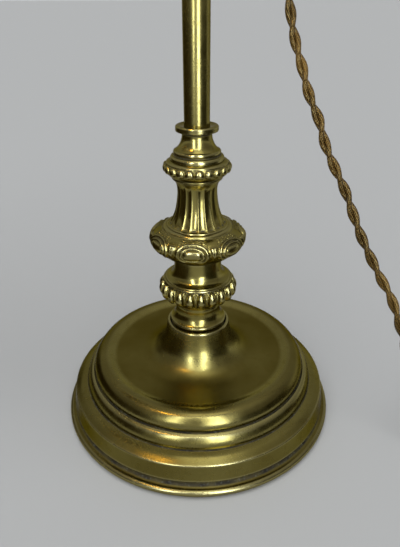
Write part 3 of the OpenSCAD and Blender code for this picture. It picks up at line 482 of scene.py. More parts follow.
def brass(name, open_colour, deep, worn, grime, rough, grime_share=1.0, axis_x=0, dished=False):
    """Cast and turned brass, polished long ago: fine turning rings about the axis at axis_x mm, a mottled
    patina, dark spots, old polish in the hollows with pale bits in it, and rubbed edges. On the dished base
    the tone is also laid by radius: the deepest patina is in the dish, with painted reflection on the cone's
    top, painted highlight on the dish's lip and painted shade on the roll."""
    material, tree, shader = blank(name)
    place = add(tree, "TexCoord", out="Object")
    centred = add(tree, "Mapping", {"Vector": place, "Location": (-axis_x * MM, 0, 0)})
    split = add(tree, "SeparateXYZ", [centred]).node.outputs
    flat = add(tree, "CombineXYZ", [split["X"], split["Y"]])
    radius = add(tree, "VectorMath", [flat], "Value", operation="LENGTH")
    rings = add(tree, "CombineXYZ", [radius, split["Z"]])
    wear = add(tree, "Attribute", out="Fac", attribute_name="wear")
    # Grain in mm, detail and coordinates of each noise; the turning rings are drawn coarser than real ones,
    # which would not show
    mottle, specks, cloud, patches, turning = (
        add(tree, "TexNoise", {
            "Vector": vector, "Scale": 1 / (size_mm * MM), "Detail": detail, "Roughness": 0.58,
        }, noise_dimensions=dimensions)
        for size_mm, detail, vector, dimensions in (
            (5, 4.0, place, "3D"), (1.1, 2.0, place, "3D"), (38, 3.0, place, "3D"), (9, 2.0, place, "3D"),
            (0.9, 3.0, rings, "2D"),
        )
    )
    tone = add(tree, "MapRange", [cloud, 0.34, 0.66, 0.0 if dished else 0.6])
    clean = add(tree, "MapRange", [mottle, 0.3, 0.7, rough - 0.04, rough + 0.06])
    if dished:
        ramp = add(tree, "ValToRGB", [add(tree, "MapRange", [radius, 0, DISH_SPAN * MM])])
        for stop_mm, level in DISH_TONES:
            ramp.node.color_ramp.elements.new(stop_mm / DISH_SPAN).color = (level, level, level, 1)
        # The ramp lays tone by radius: a deeper patina in the dish, painted reflection on the cone's top,
        # painted highlight on the dish's lip and painted shade on the roll. The dish is also duller towards
        # the middle
        faint = add(tree, "Math", [tone, 0.4], operation="MULTIPLY")
        tone = add(tree, "Math", [
            faint, add(tree, "Math", [ramp, 0.2], operation="SUBTRACT"),
        ], operation="ADD")
        dull = add(tree, "Math", [
            add(tree, "MapRange", [ramp, 0.25, 1.0, 0.09, 0]),
            add(tree, "MapRange", [radius, 46 * MM, 50 * MM, 1, -0.3]),
        ], operation="MULTIPLY")
        clean = add(tree, "Math", [clean, dull], operation="ADD")
    base = add(tree, "Mix", {SHARE: tone, FIRST: deep, SECOND: open_colour}, **BLEND)
    stain = add(tree, "MapRange", [mottle, 0.52, 0.75, 0, 0.4])
    stained = add(tree, "Mix", {SHARE: stain, FIRST: base, SECOND: deep}, **BLEND)
    rubbed = add(tree, "MapRange", [wear, -0.2, -0.9, 0, 0.5])
    edged = add(tree, "Mix", {SHARE: rubbed, FIRST: stained, SECOND: worn}, **BLEND)
    settled = add(tree, "Math", [
        add(tree, "MapRange", [wear, 0.35, 0.9, 0, grime_share]),
        add(tree, "MapRange", [patches, 0.35, 0.6, 0.7]),
    ], operation="MULTIPLY")
    # A dark spot in the middle of some of the cells
    cells = add(tree, "TexVoronoi", {"Vector": place, "Scale": 1 / (13 * MM)})
    chance = add(tree, "SeparateXYZ", [cells.node.outputs["Color"]])
    spots = add(tree, "Math", [
        add(tree, "MapRange", [cells, 0.06, 0.03, 0, 0.85]), add(tree, "MapRange", [chance, 0.6, 0.62]),
    ], operation="MULTIPLY")
    dirt = add(tree, "Math", [settled, spots], operation="MAXIMUM")
    # Pale bits of dried polish where the grime lies thick
    bits = add(tree, "Math", [
        add(tree, "MapRange", [specks, 0.57, 0.64, 0, 0.25]), add(tree, "MapRange", [settled, 0.4, 0.7]),
    ], operation="MULTIPLY")
    soiled = add(tree, "Mix", {SHARE: dirt, FIRST: edged, SECOND: grime}, **BLEND)
    marks = add(tree, "Math", [turning, spots], operation="SUBTRACT")
    feed(tree, shader, {
        "Base Color": add(tree, "Mix", {SHARE: bits, FIRST: soiled, SECOND: linear("#84877a")}, **BLEND),
        "Roughness": add(tree, "MapRange", [dirt, 0, 1, clean, 0.75]),
        "Metallic": add(tree, "MapRange", [dirt, 0, 1, 1.0, 0.25]),
        "Normal": add(tree, "Bump", {"Height": marks, "Strength": 0.2, "Distance": 0.02 * MM}),
        "Specular Tint": linear("#b0aba0"),
    })
    return material


def plain(name, light, dark, grain_mm, rough, metallic, bump_mm, coat):
    """A finish of one colour that varies over its grain and in clouds: iron, plated steel, resin, fibre,
    felt and porcelain differ in grain size, roughness, metal and glaze."""
    material, tree, shader = blank(name)
    place = add(tree, "TexCoord", out="Object")
    grain = add(tree, "TexNoise", {
        "Vector": place, "Scale": 1 / (grain_mm * MM), "Detail": 4.0, "Roughness": 0.6,
    })
    cloud = add(tree, "TexNoise", {"Vector": place, "Scale": 1 / (14 * grain_mm * MM), "Detail": 2.0})
    blend = add(tree, "Math", [grain, cloud], operation="ADD")
    share = add(tree, "MapRange", [blend, 0.7, 1.3])
    feed(tree, shader, {
        "Base Color": add(tree, "Mix", {SHARE: share, FIRST: linear(dark), SECOND: linear(light)}, **BLEND),
        "Roughness": add(tree, "MapRange", [cloud, 0.3, 0.7, max(rough - 0.06, 0.04), rough + 0.06]),
        "Normal": add(tree, "Bump", {"Height": grain, "Strength": 0.4, "Distance": bump_mm * MM}),
        "Metallic": metallic,
        "Coat Weight": coat,
    })
    return material


def braided_cloth(name, light, dark):
    """Rayon braid over rubber cores: two sets of slanting threads that pass over and under each other, drawn
    coarser than real threads so that they show. Its colour is light on the crests of the weave as painted
    highlight and dark between the threads as painted shade. The map's first value goes once round a core and
    its second is the length in mm."""
    material, tree, shader = blank(name)
    place = add(tree, "TexCoord", out="Object")
    split = add(tree, "SeparateXYZ", [add(tree, "UVMap", uv_map="thread")]).node.outputs
    turn = add(tree, "Math", [split["X"], BRAID_THREADS], operation="MULTIPLY")
    length = add(tree, "Math", [split["Y"], 1 / BRAID_LAY], operation="MULTIPLY")
    waves = []
    for way in ("ADD", "SUBTRACT"):
        slant = add(tree, "Math", [turn, length], operation=way)
        phase = add(tree, "Math", [slant, 2 * math.pi], operation="MULTIPLY")
        waves.append(add(tree, "Math", [phase], operation="SINE"))
    weave = add(tree, "Math", waves, operation="MAXIMUM")
    fibre, faded = (
        add(tree, "TexNoise", {"Vector": place, "Scale": 1 / (size_mm * MM), "Detail": detail})
        for size_mm, detail in ((0.7, 3.0), (22, 2.0))
    )
    # Crests of the weave take the light colour and the hollows between threads the dark one: painted
    # highlight and painted shade
    lit = add(tree, "MapRange", [weave, 0.22, 0.95])
    # worn is the painted highlight on the crests, broken up by the fibre noise
    worn = add(tree, "Math", [lit, fibre], operation="MULTIPLY")
    uneven = add(tree, "Math", [worn, faded], operation="ADD")
    share = add(tree, "MapRange", [uneven, 0.5, 1.0])
    feed(tree, shader, {
        "Base Color": add(tree, "Mix", {SHARE: share, FIRST: dark, SECOND: light}, **BLEND),
        "Normal": add(tree, "Bump", {"Height": weave, "Strength": 0.45, "Distance": 0.2 * MM}),
        "Roughness": 0.26,
        "Specular IOR Level": 0.9,
        "Specular Tint": linear("#e0c47c"),
    })
    return material


def etched_glass(name, tint):
    """Blown soda glass etched with acid: a frosted skin that clears a little towards the rim, with faint
    streaks from blowing."""
    material, tree, shader = blank(name)
    place = add(tree, "TexCoord", out="Object")
    height = add(tree, "SeparateXYZ", [place], "Z")
    streaks = add(tree, "Mapping", {"Vector": place, "Scale": (1, 1, 0.15)})
    frost = add(tree, "TexNoise", {"Vector": streaks, "Scale": 1 / (3 * MM), "Detail": 4.0})
    speck = add(tree, "TexNoise", {"Vector": place, "Scale": 1 / (0.8 * MM), "Detail": 2.0})
    feed(tree, shader, {
        "Base Color": add(tree, "Mix", {SHARE: frost, FIRST: linear("#e6d6b8"), SECOND: tint}, **BLEND),
        "Roughness": add(tree, "MapRange", [height, 220 * MM, 300 * MM, 0.22, 0.5]),
        "Normal": add(tree, "Bump", {"Height": speck, "Strength": 0.25, "Distance": 0.05 * MM}),
        "Transmission Weight": 0.45,
        "IOR": 1.5,
    })
    return material


# Roughness and share of grime of each brass, and what else sets it apart
BRASSES = {
    # Spun base: satin, its tone laid by radius as patina, painted highlight, painted reflection and painted
    # shade
    "spun_brass": {"rough": 0.26, "dished": True},
    # Cast column: a little brighter on its raised work
    "cast_brass": {"rough": 0.2, "grime_share": 0.9},
    # Drawn tube: polished by handling, little grime
    "drawn_brass": {"rough": 0.24, "grime_share": 0.4},
    # Fittings round the lampholder's axis
    "holder_brass": {"rough": 0.22, "grime_share": 0.7, "axis_x": HOLDER_X},
}
# Light and dark colour, grain in mm, roughness, metal, height of the grain in mm, and glaze
PLAINS = {
    # Sand cast iron: dark and grainy
    "cast_iron": ("#4b4a49", "#2a2a2b", 1.2, 0.62, 0.6, 0.2, 0.0),
    # Bright zinc plate on turned steel
    "plated_steel": ("#a7a8a6", "#86877f", 0.8, 0.34, 1.0, 0.02, 0.0),
    # Pressed wool felt: no gloss, soft nap
    "wool_felt": ("#33503a", "#1f3525", 0.7, 0.95, 0.0, 0.3, 0.0),
    # Compression moulded phenolic resin: brown, hard gloss, faint flow
    "phenolic_resin": ("#472c1a", "#2c190e", 2.5, 0.22, 0.0, 0.01, 0.3),
    # Pressed fibre board: dull and close
    "fibre": ("#5d4630", "#41301f", 0.5, 0.8, 0.0, 0.05, 0.0),
    # Glazed electrical porcelain: white under a clear gloss
    "porcelain": ("#efebe0", "#e2dccd", 3.0, 0.12, 0.0, 0.01, 0.4),
    # Pearl bulb: a white wash behind clear glass
    "pearl_glass": ("#f5f1e6", "#eae4d5", 2.0, 0.2, 0.0, 0.005, 0.3),
    # Cotton strap: dull, with a coarse weave
    "cotton_strap": ("#3f2f20", "#251a10", 0.6, 0.85, 0.0, 0.15, 0.0),
}
# Finishes made so far, by name
FINISHES = {}


def finish(name):
    """The finish of that name, made on its first use."""
    if name in FINISHES:
        return FINISHES[name]
    colours = bpy.context.scene.lamp_colours
    if name in BRASSES:
        first = colours.brass if name == "spun_brass" else colours.brass_pale
        shades = (tuple(c) for c in (first, colours.brass_deep, colours.brass_worn, colours.grime))
        made = brass(name, *shades, **BRASSES[name])
    elif name == "braided_rayon":
        made = braided_cloth(name, tuple(colours.flex_lit_crests), tuple(colours.flex_shaded_gaps))
    elif name == "etched_glass":
        made = etched_glass(name, tuple(colours.glass))
    else:
        made = plain(name, *PLAINS[name])
    FINISHES[name] = made
    return made


class LampOperator:
    """What every operator of the lamp shares."""

    bl_options = {"REGISTER", "UNDO"}


class LAMP_OT_stage(LampOperator, bpy.types.Operator):
    """Sets the camera, the pale floor, the lights and the world"""

    bl_idname = "lamp.stage"
    bl_label = "Stage"

    def execute(self, context):
        scene = context.scene
        scene.view_settings.view_transform = "Standard"
        self.camera(scene)
        self.floor(scene)
        self.lights()
        self.world(scene)
        return {"FINISHED"}

    def camera(self, scene):
        """Looks along +Y and down, with the focal length and place worked out from the base's ellipses."""
        data = bpy.data.cameras.new("camera")
        data.sensor_width = 36
        data.lens = 33.1
        camera = placed("camera", data)
        camera.location = (0.00115, -0.2363, 0.2115)
        camera.rotation_mode = "ZYX"
        camera.rotation_euler = (math.radians(90 - 28.57), 0, math.radians(-0.2))
        scene.camera = camera

    def floor(self, scene):
        """A wide plain floor just under the felt."""
        mesh = bpy.data.meshes.new("floor")
        half, drop = 300.0, -0.0002
        mesh.from_pydata(
            [(-half, -half, drop), (half, -half, drop), (half, half, drop), (-half, half, drop)],
            [], [(0, 1, 2, 3)],
        )
        material, tree, shader = blank("pale_floor")
        feed(tree, shader, {
            "Base Color": tuple(scene.lamp_colours.floor), "Roughness": 0.9, "Specular IOR Level": 0.1,
        })
        mesh.materials.append(material)
        floor = placed("floor", mesh)

    def lights(self):
        """A broad soft sun lights everything at a plain level. Tall window panels in front, a bar over them,
        a small warm panel at the left and a wide one overhead show in polished metal only."""
        data = bpy.data.lights.new("soft_sun", "SUN")
        data.energy = 2.1
        data.angle = math.radians(70)
        sun = placed("soft_sun", data)
        sun.rotation_euler = (math.radians(28), 0, math.radians(-12))
        sun.visible_glossy = False
        for name, azimuth, distance, low, high, width, radiance, tint in PANELS:
            a = math.radians(azimuth)
            place = (distance * math.sin(a), -distance * math.cos(a), (low + high) / 2)
            self.panel(name, place, (math.pi / 2, 0, a), (width, high - low), radiance, tint)
        self.panel("overhead", (0.08, -0.24, 1.2), (0, 0, 0), (0.5, 0.42), 1.8, "#ffffff")
        self.flags()

    def panel(self, name, place, turn, size, radiance, tint):
        """A flat light of even radiance that only polished metal shows."""
        data = bpy.data.lights.new(name, "AREA")
        data.shape = "RECTANGLE"
        data.size, data.size_y = size
        data.energy = radiance * math.pi * size[0] * size[1]
        data.color = linear(tint)[:3]
        light = placed(name, data)
        light.location = place
        light.rotation_euler = turn
        light.visible_camera = False
        light.visible_diffuse = False

    def flags(self):
        """Two dark cards laid on the floor and turned up, one at each side, which fade out at their ends and
        which only polished metal shows."""
        cols = 25
        fade_cols = 5
        k = np.arange(cols)
        fade = soft(np.minimum(k, k[::-1]), 0, fade_cols)
        strip = np.stack([k, k + 1, k + cols + 1, k + cols], axis=1)[:-1]
        faces = np.vstack([strip + cols * row for row in range(len(FLAG_SECTION) - 1)])
        for name, first, last, grey in FLAGS:
            material, tree, shader = blank(name)
            feed(tree, shader, {
                "Base Color": (0, 0, 0, 1), "Roughness": 1.0, "Specular IOR Level": 0.0,
                "Emission Color": linear(grey), "Emission Strength": 1.0,
                "Alpha": add(tree, "Attribute", out="Fac", attribute_name="cover"),
            })
            a = np.radians(np.linspace(first, last, cols))
            way = np.stack([np.sin(a), -np.cos(a)], axis=1)
            rows = [np.column_stack([reach * way, np.full(cols, high)]) for reach, high in FLAG_SECTION]
            mesh = bpy.data.meshes.new(name)
            mesh.from_pydata(np.vstack(rows).tolist(), [], faces.tolist())
            cover = np.tile(fade, len(rows))
            mesh.attributes.new("cover", "FLOAT", "POINT").data.foreach_set("value", cover)
            mesh.materials.append(material)
            flag = placed(name, mesh)
            flag.visible_camera = False
            flag.visible_diffuse = False
            flag.visible_shadow = False
            flag.visible_transmission = False

    def world(self, scene):
        """A studio that is pale low down and overhead, grey behind and darker in front."""
        world = bpy.data.worlds.new("studio")
        world.use_nodes = True
        scene.world = world
        tree = world.node_tree
        split = add(tree, "SeparateXYZ", [add(tree, "TexCoord", out="Generated")]).node.outputs
        back, top, high = (
            add(tree, "MapRange", [split[axis], low, full], interpolation_type="SMOOTHSTEP")
            for axis, low, full in (("Y", -0.1, 0.75), ("Z", 0.6, 1.0), ("Z", 0.16, 0.36))
        )
        sides = add(tree, "Mix", {SHARE: back, FIRST: linear("#7e7c7a"), SECOND: linear("#a2a3a5")}, **BLEND)
        room = add(tree, "Mix", {SHARE: top, FIRST: sides, SECOND: linear("#c0bfbd")}, **BLEND)
        whole = add(tree, "Mix", {SHARE: high, FIRST: linear("#c3c5c7"), SECOND: room}, **BLEND)
        feed(tree, tree.nodes["Background"], {"Color": whole, "Strength": 1.0})


def flex_path():
    """The middle line of the flex in mm: a uniform Catmull-Rom curve through the route, a spiral in and
    out that climbs a layer where it turns, and a tail to the plug, resampled at even steps."""
    p = np.array(ROUTE, float)
    q = np.vstack([p[:1], p, p[-1:]])
    t = (np.arange(8) / 8)[None, :, None]
    a, b, c, d = (q[k:len(p) - 1 + k, None, :] for k in range(4))
    drop = 0.5 * (2 * b + (c - a) * t + (2 * a - 5 * b + 4 * c - d) * t**2
                  + (3 * b - a - 3 * c + d) * t**3)
    turn = np.arange(0, COIL_TURNS + 1e-6, 1 / 96)
    r = COIL_R - COIL_PITCH * np.minimum(turn, COIL_TURNS - turn)
    angle = FRONT + 2 * np.pi * turn
    climb = soft(turn, COIL_TURNS / 2 - 0.25, COIL_TURNS / 2 + 0.25)
    coil = np.stack([
        COIL_CENTRE[0] + r * np.cos(angle), COIL_CENTRE[1] + r * np.sin(angle), COIL_Z + COIL_PITCH * climb
    ], axis=1)
    along_tail = np.linspace(0, 1, 33)[1:]
    tail = np.stack([
        np.full(32, PLUG_X), COIL_CENTRE[1] + (TAIL_L - FLEX_D) * along_tail,
        COIL_Z + COIL_PITCH + (PLUG_Z - COIL_Z - COIL_PITCH) * soft(along_tail, 0, 1),
    ], axis=1)
    line = np.vstack([drop.reshape(-1, 3), p[-1:], coil, tail, [[PLUG_X, RELIEF_Y, PLUG_Z]]])
    length = lengths(line)
    even = np.linspace(0, length[-1], int(length[-1] / 1.5))
    return np.stack([np.interp(even, length, line[:, k]) for k in range(3)], axis=1), length[-1]


def carried_frames(path):
    """Two cross directions along a path, each carried from its last station with no twist."""
    tangent = unit(np.gradient(path, axis=0))
    across = np.zeros_like(path)
    v = np.array([0, 0, 1.0])
    for i, t in enumerate(tangent):
        v = v - (v @ t) * t
        v = v / np.linalg.norm(v)
        across[i] = v
    return across, np.cross(tangent, across)


class LAMP_OT_flex(LampOperator, bpy.types.Operator):
    """Makes the twisted flex, its bush, strap, strain relief and plug"""

    bl_idname = "lamp.flex"
    bl_label = "Flex and plug"

    def execute(self, context):
        twist = context.scene.lamp_sizes.twist / MM
        path, length = flex_path()
        across, over = carried_frames(path)
        core_r = FLEX_D / 4
        nested_r = 0.97 * core_r
        start = 0.4
        along_mm = np.linspace(0, length, len(path))
        sides = 14
        a = angles(sides)
        cores = []
        # Two round cores wind about the middle line, half a turn apart: each is a circle carried on a helix
        for k in range(2):
            phase = 2 * np.pi * along_mm / twist + k * np.pi + start
            centre = path + nested_r * (
                np.cos(phase)[:, None] * across + np.sin(phase)[:, None] * over
            )
            spin = a + phase[:, None]
            grid = centre[:, None, :] + core_r * (
                np.cos(spin)[..., None] * across[:, None, :] + np.sin(spin)[..., None] * over[:, None, :]
            )
            uv = np.stack([
                np.broadcast_to(np.arange(sides) / sides, grid.shape[:2]),
                np.broadcast_to(along_mm[:, None], grid.shape[:2]),
            ], axis=2).reshape(-1, 2)
            cores.append(shell(grid, False, np.vstack([uv, [[0, 0], [0, length]]])))
        flex = piece("flex", cores, "braided_rayon", "stand", "cord_drop", "cord_coil")
        parts = [self.strap(), self.relief(), self.plug(), self.pins()]
        self.bush()
        return {"FINISHED"}

    def strap(self):
        """A flat band whose rounded section is carried round a rounded rectangle, across the coil."""
        inner = COIL_R - COIL_PITCH * COIL_TURNS / 2 - FLEX_D / 2
        outer = COIL_R + FLEX_D / 2
        high = COIL_Z + COIL_PITCH + FLEX_D / 2
        u = angles(96)
        section = np.array([
            (-0.35, -6.7), (0.35, -6.7), (0.5, -6.0), (0.5, 0), (0.5, 6.0), (0.35, 6.7),
            (-0.35, 6.7), (-0.5, 6.0), (-0.5, 0), (-0.5, -6.0),
        ])
        half_w = (outer - inner) / 2 + 0.6 + section[:, :1] * 0.7
        half_h = (high - 0.4) / 2 + 0.35 + section[:, :1] * 0.7
        x = (inner + outer) / 2 + half_w * squarer(np.cos(u), 0.35)
        z = (high + 0.5) / 2 + half_h * squarer(np.sin(u), 0.35)
        grid = np.stack([x, section[:, 1:] + 0 * u, z], axis=2)
        cos, sin = math.cos(STRAP_TURN), math.sin(STRAP_TURN)
        spun = np.stack([
            COIL_CENTRE[0] + grid[..., 0] * cos - grid[..., 1] * sin,
            COIL_CENTRE[1] + grid[..., 0] * sin + grid[..., 1] * cos,
            grid[..., 2],
        ], axis=2)
        return piece("flex_strap", [shell(spun)], "cotton_strap", "stand", "cord_tie")

    def ribbed(self, tip_r, root_r, length, ribs):
        """A tapered sleeve with grooves cut across it, along +Z."""
        line = outline(
            (0, 0), (0.3, (tip_r, 0)), (0.25, (root_r, length)), (0.5, (0, length)), closed=False,
        )
        z = line[:, 1]
        groove = dome(((z * ribs / length) % 1 - 0.5) ** 2 / 0.09, 1.0) * (z > 2) * (z < length - 2)
        line[:, 0] -= 0.55 * groove * (line[:, 0] > tip_r * 0.9)
        return turned(line, 40, closed=False)

    def bush(self):
        """The sleeve where the flex leaves the head."""
        seat, length = 15.0, 20.0
        grid = self.ribbed(tip_r=FLEX_D / 2 + 0.7, root_r=FLEX_D / 2 + 2.8, length=length, ribs=6)
        flipped = grid * np.array([1, 1, -1]) + np.array([0, 0, seat + length])
        sleeve = shell(aimed(flipped, (0, 0, Z_BUSH), FLEX_WAY), False)
        return piece("flex_bush", [sleeve], "phenolic_resin", "stand", "cord_bush")

    def relief(self):
        """The sleeve at the back of the plug."""
        grid = self.ribbed(tip_r=FLEX_D / 2 + 0.6, root_r=FLEX_D / 2 + 2.2, length=25.0, ribs=7)
        sleeve = shell(aimed(grid, (PLUG_X, RELIEF_Y, PLUG_Z), BACK), False)
        return piece("plug_sleeve", [sleeve], "phenolic_resin", "stand", "plug_relief")

    def plug(self):
        """A flat moulding: a rounded section whose half width and half height change along +Y."""
        stations = np.linspace(0, PLUG_L, 41)
        width = np.interp(stations, [0, 1, 4, 19, 22, 33, 35, 36], [5.5, 6.8, 7.8, 17, 17.4, 17.5, 17, 15.8])
        thick = np.interp(stations, [0, 1, 4, 12, 33, 35, 36], [4.6, 5.6, 6.3, 6.9, 6.9, 6.5, 5.6])
        u = angles(72)
        grid = np.stack([
            PLUG_X + width[:, None] * squarer(np.cos(u), 0.42),
            PLUG_Y + stations[:, None] + 0 * u,
            PLUG_Z + thick[:, None] * squarer(np.sin(u), 0.42),
        ], axis=2)
        return piece("plug_moulding", [shell(grid, False)], "phenolic_resin", "stand", "plug_body")

    def pins(self):
        """Two round pins with round ends."""
        line = outline(
            (0, 0), (0.5, (2, 0)), (1.0, (2, 17)), (0.3, (1.6, 18.3), (0, 19)), closed=False,
        )
        shells = [
            skin(line, 32, at=(PLUG_X + x, PLUG_Y + PLUG_L, PLUG_Z), way=BACK, closed=False)
            for x in (-PIN_X, PIN_X)
        ]
        return piece("plug_prongs", shells, "drawn_brass", "stand", "plug_pins")


class LAMP_OT_base(LampOperator, bpy.types.Operator):
    """Makes the spun base and its felt, and finishes the weight and its fixings"""

    bl_idname = "lamp.base"
    bl_label = "Base"

    def execute(self, context):
        # One outline, turned: from inside the foot up over the steps, the dish and the cone, and back beneath
        line = outline(
            (70.5, 3.0),
            (4, (70.5, 0.8)),
            (1.5, (74.2, 0.8)),
            (0.5, (75.4, 1.5), (76.0, 2.9), (75.6, 4.2), (74.6, 4.8)),
            (0.3, (73.2, 5.0), (72.0, 5.6), (71.5, 6.8), (71.7, 8.2)),
            (0.35, (72.8, 8.7)),
            (0.9, (72.2, 11.7), (71.3, 16.8)),
            (0.3, (71.15, 17.4), (70.5, 17.8)),
            (0.9, (67.6, 19.3), (64.0, 20.2)),
            (0.6, (64.0, 22.4), (63.2, 24.8), (61.8, 26.8), (60.2, 27.5)),
            (0.3, (59.7, 26.8), (59.3, 27.4)),
            (0.8, (59.6, 29.9), (58.4, 32.9), (56.0, 35.2), (53.6, 36.0), (51.9, 36.0), (50.4, 35.6),
             (48.9, 34.95), (47.0, 34.4), (44.5, 34.05), (41, 33.8), (37, 33.7), (31.2, 33.85),
             (28.9, 34.4), (26.7, 35.3), (24.6, 36.6), (22.9, 38.2), (21.3, 40.0), (19.3, 43.8),
             (18.2, 47.5), (17.5, 51.0), (17.0, 54.3)),
            (0.4, (16.6, 54.8), (15.9, 54.9), (15.6, 54.9)),
            (0.8, (15.3, Z_SEAT)),
            (5, (TIE_HOLE_R, Z_SEAT)),
            (5, (TIE_HOLE_R, 48)),
            (5, (14.2, 48)),
            (5, (15.5, 42), (20.0, 35.5), (27.0, 31.9), (33, 31.4), (48.6, 31.4)),
            (5, (57.9, 25.0), (61.5, 17.8), (68.3, 15.2)),
            (5, (70.5, 3.0)),
        )
        piece("base_casting", [skin(line, 288)], "spun_brass", "stand", "base_shell")
        felt = outline(
            (0, 0), (6, (68.0, 0)), (0.5, (68.3, 0.4)), (0.5, (68.3, 1.6)), (0.5, (67.9, 2.0)),
            (6, (0, 2.0)), closed=False,
        )
        piece("base_pad", [skin(felt, 144, closed=False)], "wool_felt", "stand", "base_felt")
        dress("cast_iron", "base_weight")
        dress("plated_steel", "base_washer", "base_nut", "tie_rod")
        return {"FINISHED"}


class LAMP_OT_column(LampOperator, bpy.types.Operator):
    """Makes the cast pieces of the column, from its foot to the cap round the stem"""

    bl_idname = "lamp.column"
    bl_label = "Column"

    def execute(self, context):
        sizes = context.scene.lamp_sizes
        self.foot()
        self.lower_collar(sizes.lower_beads)
        self.knop(sizes.bosses)
        self.neck(sizes.panels)
        self.upper_collar(sizes.upper_beads)
        self.cap()
        return {"FINISHED"}

    def bored(self, low, high, *rows):
        """The outline of a casting between two heights, from its bore for the tie rod through rows and
        back."""
        return outline((TIE_HOLE_R, low), *rows, (4, (TIE_HOLE_R, high)), (6, (TIE_HOLE_R, low)))

    def cast(self, name, line, sides, relief, node):
        """One casting of the column, bored for the tie rod."""
        piece(name, [skin(line, sides, relief)], "cast_brass", "stand", node)

    def foot(self):
        """A lip, a hollow flare and a neck with a fine ring."""
        line = self.bored(
            Z_SEAT, Z_COLLAR,
            (4, (12.5, Z_SEAT)),
            (1, (12.5, 55.3)),
            (0.35, (14.3, 55.4), (15.0, 55.8), (15.2, 56.5), (15.0, 57.2)),
            (0.3, (14.5, 57.5), (13.8, 58.05), (13.15, 58.8), (12.6, 59.8), (12.2, 61.0), (12.0, 62.5),
             (11.95, 64.0)),
            (0.3, (12.05, 64.8), (12.08, 65.4), (12.04, 66.1), (11.95, 66.8)),
            (0.3, (12.15, 67.9), (12.6, 69.0), (13.3, Z_COLLAR)),
        )
        self.cast("column_flare", line, 160, 0.0, "column_foot")

    def dart(self, off, v, top, tip, half_width, height):
        """A wedge that narrows from its top to its tip, with a groove down its middle."""
        share = np.clip((v - tip) / (top - tip), 0, 1)
        side = np.abs(off) / np.maximum(half_width * share, 1e-3)
        inside = soft(share, 0.0, 0.15) * (1 - soft(v, top, top + 0.5))
        return height * dome(side**2, 0.8) * inside * (0.55 + 0.45 * soft(np.abs(off), 0.0, 0.5))

    def lower_collar(self, beads):
        """A ring of long egg-shaped beads, with darts between their heads, under a hollow waist."""
        line = self.bored(
            Z_COLLAR, Z_KNOP,
            (4, (13.2, Z_COLLAR)),
            (0.3, (13.8, 70.3), (14.1, 70.8), (14.0, 71.3)),
            (0.28, (16.0, 71.7), (18.0, 72.8), (19.0, 74.4), (19.3, 76.0), (19.15, 77.5), (18.6, 78.9),
             (17.9, 80.0), (17.5, 80.6)),
            (0.3, (18.1, 80.9)),
            (0.3, (18.35, 81.3), (18.1, 81.9)),
            (0.3, (17.3, 82.0)),
            (0.3, (17.0, 82.5)),
            (0.35, (15.8, 82.9), (14.5, 83.7), (13.4, 85.1), (12.7, 87.0), (12.4, 89.4), (12.3, 91.8),
             (12.3, Z_KNOP)),
        )
        sides = beads * 24
        a = angles(sides)
        r = line[:, :1]
        v = along(line, (19.3, 76.2))
        start = FRONT + math.radians(5.3)
        off = repeated(a, beads, start) * r
        gap = repeated(a, beads, start + math.pi / beads) * r
        # The eggs narrow a little towards their upper ends
        slim = 1.95 - 0.1 * np.clip(v, 0, 4.5)
        bead = 1.6 * dome((off / slim) ** 2 + np.abs(v / 4.6) ** 3, 0.5)
        groove = 0.8 * dome((gap / 1.25) ** 2 + np.abs(v / 4.5) ** 4, 0.6)
        dart = self.dart(gap, v, top=4.3, tip=1.7, half_width=0.55, height=0.6)
        self.cast("beaded_collar_low", line, sides, bead - groove + dart, "lower_collar")

    def knop(self, bosses):
        """A swelling with oval bosses, two ridges that ring each boss, darts between them and a stippled
        ground."""
        line = self.bored(
            Z_KNOP, Z_NECK,
            (4, (12.9, Z_KNOP)),
            (0.4, (13.7, 95.0)),
            (0.3, (17.4, 96.7), (20.4, 99.2), (22.5, 101.7), (23.6, 103.7), (23.9, 105.3), (23.6, 106.8),
             (22.3, 108.3), (20.2, 109.7), (17.8, 110.7)),
            (0.3, (17.2, 111.5), (16.2, Z_NECK)),
        )
        sides = bosses * 96
        a = angles(sides)
        r = np.maximum(line[:, :1], 14)
        v = along(line, (23.85, 104.7))
        start = FRONT + math.radians(-6.1)
        off = repeated(a, bosses, start) * r
        between = repeated(a, bosses, start + math.pi / bosses) * r
        boss = 1.1 * dome((off / 4.4) ** 4 + (v / 2.45) ** 4, 0.4)
        rings = 0.0
        for half_width, half_height, width in ((5.5, 3.7, 0.15), (7.5, 5.6, 0.105)):
            rho = np.sqrt((off / half_width) ** 2 + (v / half_height) ** 2)
            rings = rings + 0.8 * dome(((rho - 1) / width) ** 2, 0.7)
        belt = soft(v, -6.2, -4.2) * (1 - soft(v, 6.6, 7.2))
        dart = self.dart(between, v, top=3.2, tip=-3.6, half_width=2.1, height=1.0)
        ground = soft(v, -6.0, -4.5) * (1 - soft(v, 8.6, 9.4)) * (boss + rings < 0.02)
        # Two crossed sines, each bent by the other's direction
        stipple = 0.27 * np.sin(between * 7.1 + 3 * np.sin(v * 4.3))
        stipple = stipple * np.sin(v * 7.7 + 2.5 * np.sin(between * 3.9))
        relief = boss + (rings + np.where(np.abs(between) < 2.4, dart, 0)) * belt
        relief = relief + stipple * ground * soft(np.abs(between), 2.4, 3.2)
        self.cast("carved_knop", line, sides, relief, "leaf_knop")

